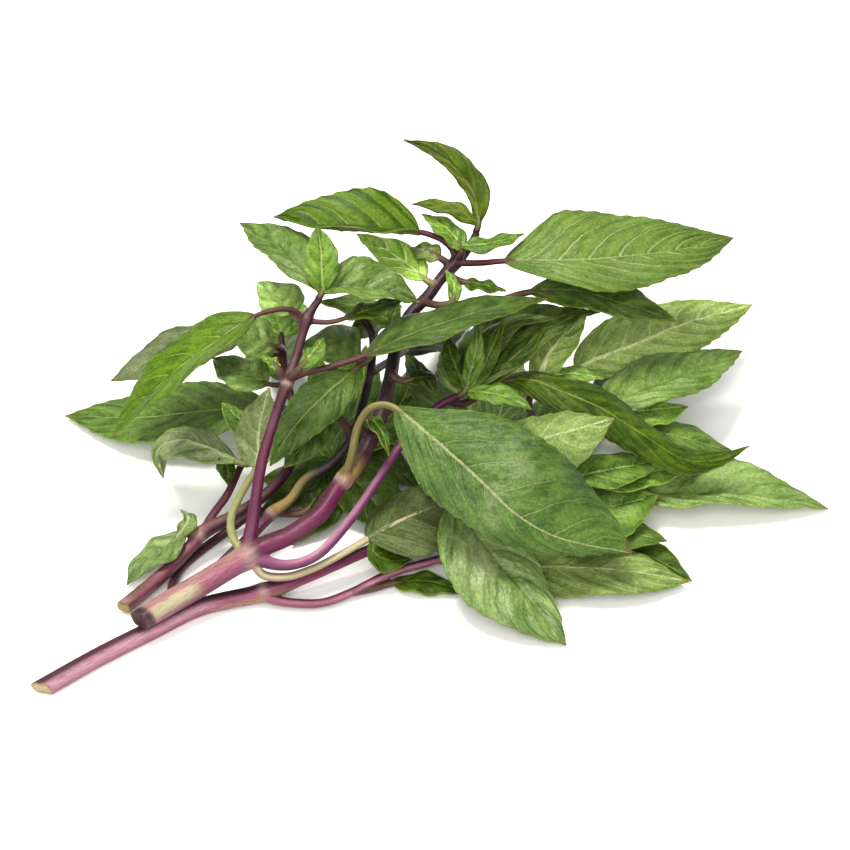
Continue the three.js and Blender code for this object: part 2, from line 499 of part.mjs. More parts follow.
// The way from the rib to one edge at the widest part: side is 1 for left, -1 for right.
function reach(tangent, seen, lift, side) {
  const across = tangent.dot(RIGHT);
  const upward = tangent.dot(UP);
  const size = Math.hypot(across, upward);
  const rightPart = (-side * upward * seen) / size;
  const upPart = (side * across * seen) / size;
  const sightPart = (lift - upPart * UP.z) / SIGHT.z;
  return new THREE.Vector3()
    .addScaledVector(RIGHT, rightPart)
    .addScaledVector(UP, upPart)
    .addScaledVector(SIGHT, sightPart);
}

// One leaf blade: a thin folded plate with a thicker rib and a toothed edge.
function blade(leaf, seed) {
  const { curve, start } = leafLine(leaf);
  const length = curve.getLength() * (1 - start);
  const teeth = Math.max(3, Math.round(length / TOOTH_PITCH));
  const chord = curve.getPointAt(1).sub(curve.getPointAt(start)).normalize();
  const tipSeen = leaf.tipSeen ?? leaf.seen;
  const tipLift = leaf.tipLift ?? leaf.lift;
  const points = [];
  const faces = [];

  function station(along) {
    const position = start + along * (1 - start);
    const tangent = curve.getTangentAt(position);
    const share = CHORD_SHARE * Math.min(1, along / CHORD_FADE);
    const level = tangent.clone().lerp(chord, share).normalize();
    const ways = [1, -1].map((side, index) => {
      const seen = THREE.MathUtils.lerp(leaf.seen[index], tipSeen[index], along);
      const lift = THREE.MathUtils.lerp(leaf.lift[index], tipLift[index], along);
      const way = reach(tangent, seen, lift, side);
      return way.addScaledVector(level, -way.dot(level));
    });
    const normals = [
      tangent.clone().cross(ways[0]).normalize(),
      ways[1].clone().cross(tangent).normalize(),
    ];
    return { centre: curve.getPointAt(position), ways, normals };
  }

  function addPair(point, normal, above, below) {
    points.push(point.clone().addScaledVector(normal, above));
    points.push(point.clone().addScaledVector(normal, -below));
    return points.length - 2;
  }

  function addEdge(along, index, extra) {
    const { centre, ways, normals } = station(along);
    const half = ways[index].length();
    const least = along < 0.5 ? PETIOLE_RADIUS : TIP_HALF_WIDTH;
    const width = Math.max(half * fullness(along) + extra, least);
    const turn = 2 * Math.PI * WAVE_COUNT * along + seed * WAVE_SHIFT_LEAF + index * WAVE_SHIFT_SIDE;
    const wave = WAVE_HEIGHT * Math.sin(turn) * fullness(along);
    const point = centre.clone().addScaledVector(ways[index], width / half);
    point.addScaledVector(normals[index], wave);
    return addPair(point, normals[index], BLADE_THICKNESS / 2, BLADE_THICKNESS / 2);
  }

  function addRib(along) {
    const { centre, normals } = station(along);
    const middle = normals[0].clone().add(normals[1]).normalize();
    const keel = RIB_DEPTH * (1 - along);
    return addPair(centre, middle, BLADE_THICKNESS / 2, BLADE_THICKNESS / 2 + keel);
  }

  // Each row holds the first point number of its left edge, rib and right edge.
  const rows = [];
  const tips = [];
  for (let row = 0; row <= teeth; row += 1) {
    const along = row / teeth;
    rows.push([addEdge(along, 0, 0), addRib(along), addEdge(along, 1, 0)]);
    if (row < teeth) {
      const lean = (row + TOOTH_LEAN) / teeth;
      const depth = row === teeth - 1 ? 0 : TOOTH_DEPTH;
      tips.push([addEdge(lean, 0, depth), addEdge(lean, 1, depth)]);
    }
  }

  // The upper face of a triangle, and the same one turned over below it.
  function bothFaces(a, b, c) {
    faces.push([a, b, c], [a + 1, c + 1, b + 1]);
  }
  function wall(a, b) {
    faces.push([a, a + 1, b], [a + 1, b + 1, b]);
  }
  for (let row = 0; row < teeth; row += 1) {
    const [left, middle, right] = rows[row];
    const [nextLeft, nextMiddle, nextRight] = rows[row + 1];
    const [leftTip, rightTip] = tips[row];
    bothFaces(middle, leftTip, left);
    bothFaces(middle, nextMiddle, leftTip);
    bothFaces(nextMiddle, nextLeft, leftTip);
    bothFaces(middle, right, rightTip);
    bothFaces(middle, rightTip, nextMiddle);
    bothFaces(nextMiddle, rightTip, nextRight);
    wall(leftTip, left);
    wall(nextLeft, leftTip);
    wall(right, rightTip);
    wall(rightTip, nextRight);
  }
  const [startLeft, startRib, startRight] = rows[0];
  wall(startLeft, startRib);
  wall(startRib, startRight);
  const [endLeft, endRib, endRight] = rows[teeth];
  wall(endRib, endLeft);
  wall(endRight, endRib);
  return asGeometry(points, faces);
}

const bunch = new THREE.Group();

function addNode(name, geometry, look) {
  const mesh = new THREE.Mesh(geometry, new THREE.MeshStandardMaterial(look));
  mesh.name = name;
  bunch.add(mesh);
}

// What would lie below the surface is cut off, which leaves the stem a flat place to rest.
function flatten(geometry) {
  const slab = new THREE.BoxGeometry(SLAB_SIZE, SLAB_SIZE, SLAB_DEPTH);
  slab.translate(0, 0, -SLAB_DEPTH / 2);
  slab.deleteAttribute("normal");
  slab.deleteAttribute("uv");
  return toGeometry(toSolid(geometry).subtract(toSolid(slab)));
}

for (const [name, branches] of Object.entries(STEMS)) {
  const stalks = LEAVES.filter((leaf) => leaf.stem === name);
  addNode(name, flatten(unite([...branches.map(branch), ...stalks.map(petiole)])), STEM);
}
LEAVES.forEach((leaf, seed) => {
  const blades = [blade(leaf, seed)];
  (leaf.also ?? []).forEach((more) => blades.push(blade(more, seed + 1)));
  addNode(leaf.name, unite(blades), leaf.young ? YOUNG : LEAF);
});
for (const shoot of SHOOTS) {
  const blades = shoot.leaves.map((leaf, seed) => blade(leaf, seed));
  addNode(shoot.name, unite([branch(shoot.axis), ...blades]), shoot.mature ? LEAF : YOUNG);
}

// The origin goes to the bottom centre of the bunch.
const box = new THREE.Box3().setFromObject(bunch);
const middle = box.getCenter(new THREE.Vector3());
bunch.position.set(-middle.x, -middle.y, -box.min.z);

export default bunch;
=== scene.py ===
"""A cut bunch of Thai basil lying on a pale surface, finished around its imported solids.

The leaves and stems are worked out in millimetres from the same points as the solids, and
go into their meshes in metres. Z is up, and the camera looks along +Y from 40 degrees up.
"""
import math
from bisect import bisect_right

import bmesh
import bpy
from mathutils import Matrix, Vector, kdtree, noise


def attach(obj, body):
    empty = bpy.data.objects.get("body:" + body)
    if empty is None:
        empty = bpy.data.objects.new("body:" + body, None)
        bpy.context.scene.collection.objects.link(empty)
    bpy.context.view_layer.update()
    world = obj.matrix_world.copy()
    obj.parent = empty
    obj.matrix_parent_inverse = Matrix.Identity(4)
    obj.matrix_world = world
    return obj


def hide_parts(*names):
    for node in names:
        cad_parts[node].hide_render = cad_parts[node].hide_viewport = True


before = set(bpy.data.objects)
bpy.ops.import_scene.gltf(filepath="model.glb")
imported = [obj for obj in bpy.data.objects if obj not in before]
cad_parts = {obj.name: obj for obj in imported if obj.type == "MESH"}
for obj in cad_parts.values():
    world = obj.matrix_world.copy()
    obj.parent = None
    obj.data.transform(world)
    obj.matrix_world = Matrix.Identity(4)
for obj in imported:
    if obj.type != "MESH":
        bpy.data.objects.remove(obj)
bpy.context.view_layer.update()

MM = 0.001
# The lamps are so bright that a skin's own colour is this share of the colour that is seen.
SEEN_TO_SKIN = 0.42

# How the photograph was taken: the camera's height angle, its distance from the middle of
# the surface, its focal length in pixels and the picture's middle pixel.
ELEVATION = math.radians(40)
DISTANCE = 573
FOCAL_PIXELS = 2007
MIDDLE_PIXEL = 425
SIGHT = Vector((0, math.cos(ELEVATION), -math.sin(ELEVATION)))
RIGHT = Vector((1, 0, 0))
UP = Vector((0, math.sin(ELEVATION), math.cos(ELEVATION)))
EYE = -DISTANCE * SIGHT
# From the middle of the photograph's surface to the bottom centre of the bunch.
TO_CENTRE = Vector((-3.107, 27.825, 0))

# Sizes of the leaves, in millimetres. A blade whose wider half is less than the last two has
# smaller teeth and a thinner rib.
STALK_RADIUS = 0.95
STALK_END_RADIUS = 0.4
STALK_SINK = 0.5
BLADE_THICKNESS = 0.36
THICKEST = 1.6
TIP_HALF_WIDTH = 0.12
RIB_KEEL = 0.85
VEIN_KEEL = 0.14
VEIN_REACH = 0.45
VEIN_PITCH = 9
GROOVE_DEPTH = 0.12
TOOTH_PITCH = 4.7
TOOTH_DEPTH = 0.5
WAVE_HEIGHT = 0.7
RUFFLE_HEIGHT = 0.16
FULL_TEETH_HALF = 8
FULL_RIB_HALF = 6

# Proportions of the leaves. A blade is widest a share of the way along, and rounds off with
# two powers towards its base and its tip. Near its base its halves are set square to the rib,
# and further on more to the straight line from base to tip.
BASE_POWER = 0.62
TIP_POWER = 0.98
WIDEST = BASE_POWER / (BASE_POWER + TIP_POWER)
FULLNESS = WIDEST ** BASE_POWER * (1 - WIDEST) ** TIP_POWER
CHORD_SHARE = 0.6
CHORD_FADE = 0.15
FOLD_SOFTNESS = 0.12
STALK_TAPER = 0.25
FIRST_VEIN = 0.4
VEIN_STAGGER = 0.35
VEIN_SLOPE = 0.8
TOOTH_LEAN = 0.7
TOOTH_LOWEST = 0.35
TOOTH_STAGGER = 0.4
RUFFLES_PER_TOOTH = 0.37
WAVE_COUNT = 2.2
WAVE_SHIFT_LEAF = 1.7
WAVE_SHIFT_SIDE = 2
PUCKER_SHARE = 0.7
# How far one leaf's pattern lies from the next one's.
PATTERN_SHIFT = 0.377

# The stems: their corners, and their sizes in millimetres.
STEM_CORNERS = 4
STEM_SQUARENESS = 0.07
LOWEST_STEM = 0.02
GRAIN_LENGTH = 30
CUT_REACH = 10
CUT_RIM = 0.35

# How finely things are divided, in millimetres.
LEAF_CELL = 0.62
STEM_CELL = 0.3
TUBE_STEP = 0.6
TUBE_SIDES = 24
# How much closer a blade's columns lie near the rib.
CROWDING = 0.28
# How often the melted stems are smoothed, and how many old points give a new one its colour.
SMOOTHINGS = 3
NEIGHBOURS = 3

# What a leaf has unless its own line says otherwise. slim is the share of the usual stalk's
# width, and run is how far the stalk goes on as a bold rib. back is the finish of the lower
# face, which faces up where under is true. level is how light the whole leaf is painted: its
# own lightness together with painted light and shade, low where a leaf is painted dark as
# shade deep in the bunch and high where light is painted onto a leaf that lies in shade.
# quilt, arch and wedge are how much it is puckered, arched and narrowed at its base, and sweep
# is how far its side veins lean towards the tip. second is another blade that grows out of its
# base.
USUAL = dict(stem=None, stalk=[], stalk_tone="plum", slim=1, run=5, back="under", under=False,
             level=1, young=False, quilt=0.3, arch=0.05, wedge=0, sweep=0.3, second=None)


def leaf(finish, rib, seen, lift=(0, 0), **more):
    """A leaf from the points of its rib. seen is how wide its left and right half would look,
    and lift is how far their edges rise. tip_seen and tip_lift are the same for the tip."""
    given = dict(finish=finish, rib=rib, seen=seen, lift=lift, tip_seen=seen, tip_lift=lift)
    return {**USUAL, **given, **more}


# Each point is a pixel across and down in the photograph and a height above the surface. The
# points of stems and of shoots' axes also have a radius.
LEAVES = {
    "leaf_front_large": leaf(
        "sheen",
        [(396, 409, 42), (435, 440, 39.5), (480, 480, 34), (515, 513, 28), (555, 536, 22), (632, 553, 14)],
        (8.5, 15), (6, -6), stem="stem_thick",
        stalk=[(344, 480, 24), (351, 458, 30), (359, 424, 37), (371, 408, 41), (384, 405, 42)],
        tip_seen=(31, 5), tip_lift=(12, -6), level=1.05, quilt=0.35, arch=0.07, wedge=0.35,
        stalk_tone="olive"),
    "leaf_front_low": leaf(
        "quilted", [(452, 503, 19), (484, 546, 13), (520, 588, 7.5), (566, 645, 1)], (9, 11), (1, -1),
        stem="stem_thick", stalk=[(402, 440, 26), (425, 468, 23)], tip_seen=(8, 15), level=1.25,
        quilt=0.9),
    "leaf_low_pale": leaf(
        "plain", [(472, 567, 2.6), (560, 568, 3.6), (630, 572, 4.6), (688, 582, 2.2)], (8, 4.5), (0.6, 0),
        stem="stem_front", stalk=[(440, 559, 3.6), (456, 564, 2.8)], tip_seen=(8, 9), level=1.5, quilt=0.5,
        under=True, stalk_tone="pale"),
    "leaf_low_dark": leaf(
        "deep", [(590, 543, 2), (650, 557, 1.6), (692, 581, 1)], (4.5, 4.5), (0.4, 0.2), stem="stem_front",
        stalk=[(560, 518, 6), (574, 532, 3)], level=1.6),
    "leaf_low_small": leaf(
        "plain", [(562, 525, 8.6), (620, 532, 7.8), (667, 541, 5.4)], (5.5, 4.5), (1, 0),
        stem="stem_front", stalk=[(516, 533, 6.2), (540, 527, 8.4)], level=1.55),
    "leaf_low_bright": leaf(
        "plain", [(548, 515, 12), (600, 509, 11.4), (658, 496, 9.6)], (7.5, 8.5), (0, -1),
        stem="stem_front", stalk=[(520, 480, 9.5), (530, 502, 11.4)], level=2.25, quilt=0.6),
    "leaf_right_inner": leaf(
        "plain", [(569, 478, 17.6), (610, 470, 18), (661, 461, 15)], (4.5, 4.5), (1, 0), stem="stem_front",
        stalk=[(556, 458, 11.5), (553, 468, 15), (558, 476, 16.8)], level=2.05, quilt=0.6),
    "leaf_right_long": leaf(
        "quilted", [(616, 494, 4.6), (660, 494, 5), (740, 494, 4.6), (828, 509, 1)], (10, 3.2), (2, 3),
        stem="stem_front", stalk=[(584, 510, 5.8), (600, 501, 4.6)], level=1.6, quilt=0.8,
        stalk_tone="pale"),
    "leaf_right_slim": leaf(
        "plain", [(598, 480, 13.8), (622, 481, 13.6), (650, 473, 13), (700, 461, 10)], (3, 3.5), (1, 0),
        stem="stem_front", stalk=[(577, 447, 12.6), (583, 467, 14.2)], level=2.5),
    "leaf_right_hooked": leaf(
        "olive",
        [(504, 381, 31), (530, 380, 32), (562, 392, 32), (600, 408, 30), (640, 433, 25), (685, 460, 18),
         (720, 459, 16), (750, 446, 18)], (4.8, 6.4), (-1.5, -4), stem="stem_thick",
        stalk=[(446, 401, 31), (464, 403, 28.4), (484, 392, 29.6)], level=1.25, quilt=0.4),
    "leaf_right_shaded": leaf(
        "plain", [(612, 428, 16), (665, 434, 14.5), (735, 453, 9)], (4.6, 5), stem="stem_front",
        stalk=[(580, 445, 12.8), (598, 436, 15)], level=1.45),
    "leaf_right_small": leaf(
        "plain", [(617, 415, 17.5), (645, 411, 18), (688, 407, 16)], (3, 4.5), (0.5, 0), stem="stem_front",
        stalk=[(598, 430, 14.5), (607, 422, 16.5)], level=3.2),
    "leaf_right_upper": leaf(
        "soft", [(600, 410, 19.5), (640, 391, 22), (690, 373, 22), (742, 351, 18)], (8, 5.5), (0, 1),
        stem="stem_front", stalk=[(603, 426, 15), (596, 418, 17)], level=1.3, quilt=0.8,
        stalk_tone="pale"),
    "leaf_right_underside": leaf(
        "plain", [(578, 370, 19), (640, 343, 21), (680, 326, 21), (752, 305, 17)], (9.5, 9.5), (0, -4),
        stem="stem_front", stalk=[(575, 448, 12.5), (560, 420, 14), (562, 392, 17)], level=2.25, quilt=0.6,
        under=True, stalk_tone="cream"),
    "leaf_front_fold": leaf(
        "plain", [(490, 455, 21), (553, 437, 27), (614, 419, 32.5)], (6.5, 11.5), (2, -6),
        stem="stem_front", stalk=[(496, 492, 8.2), (478, 472, 16)], level=1.4, quilt=0.5, under=True,
        stalk_tone="pale"),
    "leaf_under_front": leaf(
        "plain", [(368, 539, 12), (400, 522, 12.5), (450, 503, 12.4), (500, 494, 12.4)], (7, 10.5),
        (1, -1.5), stem="stem_thick",
        stalk=[(252, 558, 13.6), (262, 574, 9.5), (285, 577, 8.6), (312, 569, 9), (340, 555, 10.5)],
        level=0.56, run=17, under=True, stalk_tone="cream",
        second=leaf("deep", [(374, 541, 12), (374, 553, 10.4), (390, 561, 8), (412, 560, 7)], (2.6, 3),
                    level=1.1)),
    "leaf_shaded_low": leaf(
        "deep", [(393, 583, 1.8), (430, 582, 1.5), (468, 593, 1)], (2.2, 3), (0.4, 0.2), stem="stem_front",
        stalk=[(352, 592, 2.2), (374, 588, 1.9)], level=1.45),
    "leaf_top_right": leaf(
        "veined", [(505, 261, 53), (560, 261, 53), (600, 259, 52), (680, 250, 48), (733, 238, 45)],
        (16, 9.5), (4, 0), stem="stem_thick", stalk=[(456, 263, 50), (480, 263, 52)], tip_seen=(12, 9.5),
        tip_lift=(4, 0), level=1.05, quilt=0.7, wedge=0.35, sweep=0.4, slim=0.85, stalk_tone="wine"),
    "leaf_top_right_under": leaf(
        "plain", [(530, 292, 43), (575, 291, 44), (620, 303, 43), (676, 321, 38)], (4, 4.6), (0, -1),
        stem="stem_thick", stalk=[(399, 338, 38.8), (440, 320, 42), (490, 304, 42)], tip_seen=(9, 5),
        tip_lift=(0, -1), level=1.25),
    "leaf_top_left": leaf(
        "striped", [(419, 232, 57.5), (370, 230, 60), (320, 227, 60.5), (274, 217, 61)], (1, 11.5), (6, 7),
        stem="stem_thick", stalk=[(456, 262, 50), (452, 249, 53), (442, 240, 55), (431, 235, 56.5)],
        level=0.95, quilt=0.6, sweep=0.4, slim=0.85, stalk_tone="wine"),
    "leaf_top_underside": leaf(
        "plain", [(440, 258, 52), (428, 252, 53), (410, 248, 53)], (2.6, 3), stem="stem_thick",
        stalk=[(451, 267, 49.5), (446, 262, 51)], under=True),
    "leaf_top_middle": leaf(
        "veined", [(425, 279, 49), (400, 260, 50.5), (357, 234, 54)], (4, 5), (0, 1), stem="stem_thick",
        stalk=[(438, 284, 46.6), (431, 283, 48.2)], level=3, quilt=0.7, stalk_tone="pale"),
    "leaf_top_dark": leaf(
        "deep", [(464, 282, 48.4), (482, 285, 49), (506, 291, 48)], (1.6, 2), stem="stem_thick",
        stalk=[(446, 272, 48.6), (455, 279, 48)], level=1.3),
    "leaf_top_bud": leaf(
        "young", [(452, 302, 47), (454, 286, 50), (446, 270, 52)], (1.8, 2), stem="stem_thick",
        stalk=[(420, 301, 44.4), (440, 305, 46)], level=1.45),
    "leaf_top_light": leaf(
        "young", [(462, 250, 54.5), (449, 231, 57.5), (422, 214, 60)], (3, 3.2), stem="stem_thick",
        stalk=[(457, 261, 50.4), (461, 255, 53)], level=1.3, young=True,
        second=leaf("young", [(461, 245, 55.4), (472, 246, 56), (497, 242, 57), (524, 234, 57)],
                    (2.2, 2.2))),
    "leaf_middle_long": leaf(
        "satin", [(366, 355, 47), (410, 335, 50), (460, 318, 51), (510, 304, 50), (548, 299, 48)],
        (5.2, 4), (-2, 2), stem="stem_thick",
        stalk=[(286, 381, 42), (305, 373, 44), (325, 368, 45), (350, 361, 46)], level=1.05, slim=0.8,
        stalk_tone="wine"),
    "leaf_middle_hanging": leaf(
        "satin", [(358, 367, 35), (322, 398, 32), (292, 430, 27), (270, 466, 22)], (7, 6), (-2, 2),
        stem="stem_back", stalk=[(372, 350, 33), (368, 359, 34)], level=1.1, quilt=0.35,
        second=leaf("soft", [(354, 368, 35.2), (342, 358, 37), (320, 350, 38), (299, 346, 38)], (3, 7),
                    tip_seen=(3, 12), quilt=0.6)),
    "leaf_middle_lower": leaf(
        "plain", [(329, 421, 23.6), (309, 439, 21.6), (284, 468, 18)], (4.6, 4.6), (-1, 1),
        stem="stem_back", stalk=[(350, 440, 20), (345, 424, 22.4), (337, 417, 23.6)], level=1.2),
    "leaf_left_bright": leaf(
        "fresh", [(255, 316, 54), (215, 343, 50), (180, 368, 44), (140, 405, 35), (112, 437, 28)], (4, 8),
        (5, 0), stem="stem_thick",
        stalk=[(304, 320, 51.5), (295, 311, 54), (284, 309, 55), (270, 311, 55)], level=1.05, quilt=0.45,
        slim=0.7, stalk_tone="wine"),
    "leaf_left_round": leaf(
        "plain", [(240, 338, 32), (175, 350, 32), (111, 381, 27)], (6, 6), (0, 1), stem="stem_left",
        stalk=[(284, 362, 25), (262, 350, 29)], level=0.95, under=True, back="grey_back"),
    "leaf_left_far": leaf(
        "plain", [(264, 407, 13), (200, 412, 10), (140, 418, 6), (65, 416, 1.2)], (8, 8.5), (0, 1),
        stem="stem_left", stalk=[(297, 415, 17.4), (281, 408, 15)], level=1.6),
    "leaf_left_curled": leaf(
        "plain", [(235, 461, 20), (205, 447, 20.5), (176, 441, 17), (158, 452, 11), (163, 478, 3)],
        (3.6, 3.2), (-1, 0), stem="stem_left", stalk=[(252, 446, 13), (253, 458, 16), (246, 464, 18.6)],
        tip_seen=(5.5, 4.5), level=1.7, quilt=0.5, under=True, back="grey_back", stalk_tone="pale",
        second=leaf("deep", [(223, 455.5, 20.3), (228, 472, 17), (228, 485, 14)], (2.2, 2.6), level=0.9,
                    quilt=0.5)),
    "leaf_left_pale": leaf(
        "plain", [(256, 468, 19), (259, 430, 25), (269, 388, 30)], (6.2, 4.6), (0, -1), stem="stem_thick",
        stalk=[(247, 556, 14), (234, 540, 16), (231, 520, 17), (238, 500, 18), (248, 482, 18.5)],
        level=1.95, quilt=0.25, under=True, back="grey_back", stalk_tone="pale"),
    "leaf_left_small": leaf(
        "plain", [(264, 434, 18.5), (242, 421, 20), (222, 403, 21)], (3.4, 2.8), stem="stem_left",
        stalk=[(298, 440, 15.6), (280, 442, 17.5)], level=2.5),
    "leaf_left_grey": leaf(
        "soft", [(268, 384, 23), (243, 373, 24), (213, 358, 24)], (5, 5), stem="stem_left",
        stalk=[(287, 382, 22), (278, 385, 22.5)], level=1.6, quilt=0.6, slim=0.75),
    "leaf_left_inner": leaf(
        "soft", [(275, 347, 33.5), (252, 339, 37), (226, 332, 39)], (5, 6.5), (-1, 1), stem="stem_left",
        stalk=[(283, 352, 26.6), (280, 347, 31)], level=1.2, quilt=0.6),
    "leaf_left_behind": leaf(
        "soft", [(292, 314, 46), (276, 298, 48), (258, 282, 50)], (4.6, 6.4), stem="stem_thick",
        stalk=[(303, 322, 51), (298, 319, 47.5)], level=2.1, quilt=0.6),
    "leaf_node_bud": leaf(
        "young", [(278, 369, 46), (272, 362, 47), (261, 357, 48)], (1.2, 1.4), stem="stem_thick",
        stalk=[(286, 382, 42), (282, 376, 44)], level=1.6, young=True),
    "leaf_node_young": leaf(
        "young", [(301, 367, 48.5), (311, 355, 51), (324, 338, 52)], (1.8, 3), stem="stem_thick",
        stalk=[(288, 380, 42), (295, 374, 46)], young=True),
    "leaf_shoot_side": leaf(
        "deep", [(346, 318, 52), (375, 308, 51.5), (404, 300, 50)], (2.2, 2.4), stem="stem_thick",
        stalk=[(304, 321, 51.5), (330, 322, 52)], level=1.5, slim=0.7),
    "leaf_shoot_low": leaf(
        "plain", [(535, 384, 23), (568, 374, 26), (604, 379, 27)], (2.4, 2.4), stem="stem_front",
        stalk=[(562, 456, 11.8), (530, 410, 19)], level=2.6, quilt=0.5,
        second=leaf("plain", [(537, 382, 23.5), (552, 350, 30), (586, 316, 34)], (5, 5), (0, -1),
                    level=2.5, quilt=0.6, under=True)),
    "leaf_cut_end": leaf(
        "quilted", [(185, 534, 8.5), (160, 553, 6.5), (140, 566, 4), (127, 585, 1.2)], (3.4, 4), (1, 0),
        stem="stem_left", stalk=[(200, 535, 8), (192, 533, 8.5)], level=1.1, stalk_tone="pale",
        second=leaf("soft", [(177, 539, 7.8), (185, 527, 11), (189, 518, 12.4), (181, 510, 13)],
                    (1.8, 2.6), under=True)),
    "leaf_inner_low": leaf(
        "deep", [(304, 512, 8.5), (318, 494, 11), (328, 474, 13)], (2.6, 3), stem="stem_back",
        stalk=[(273, 512, 10.6), (290, 514, 8)], level=0.5),
    "leaf_inner_curled": leaf(
        "deep", [(366, 417, 35), (381, 431, 36), (389, 456, 33)], (1.6, 1.8), stem="stem_thick",
        stalk=[(366, 437, 28), (360, 424, 32.6)], level=1.45, stalk_tone="wine"),
    "leaf_inner_bright": leaf(
        "deep", [(408, 381, 39.5), (424, 378, 40), (436, 396, 38)], (2.4, 2), stem="stem_thick",
        stalk=[(390, 372, 35), (400, 380, 38)], level=0.55),
    "leaf_back_right": leaf(
        "deep", [(600, 402, 12), (630, 368, 7), (655, 335, 1)], (6, 6), (0, 0.5), stem="stem_front",
        stalk=[(570, 451, 12.2), (586, 424, 12)]),
    # Painted shade: this leaf is painted near-black with the shade finish and a low level.
    "leaf_back_middle": leaf(
        "shade", [(404, 352, 20), (440, 334, 10), (470, 318, 1.2)], (5, 5), (0, 0.5), stem="stem_back",
        stalk=[(372, 372, 29), (388, 362, 25)], level=0.3),
    "leaf_back_left": leaf(
        "plain", [(284, 380, 12.5), (284, 350, 6), (293, 318, 1.2)], (6, 6), (0.5, 0.5), stem="stem_left",
        stalk=[(294, 405, 18.4), (288, 392, 15)], level=0.75),
}
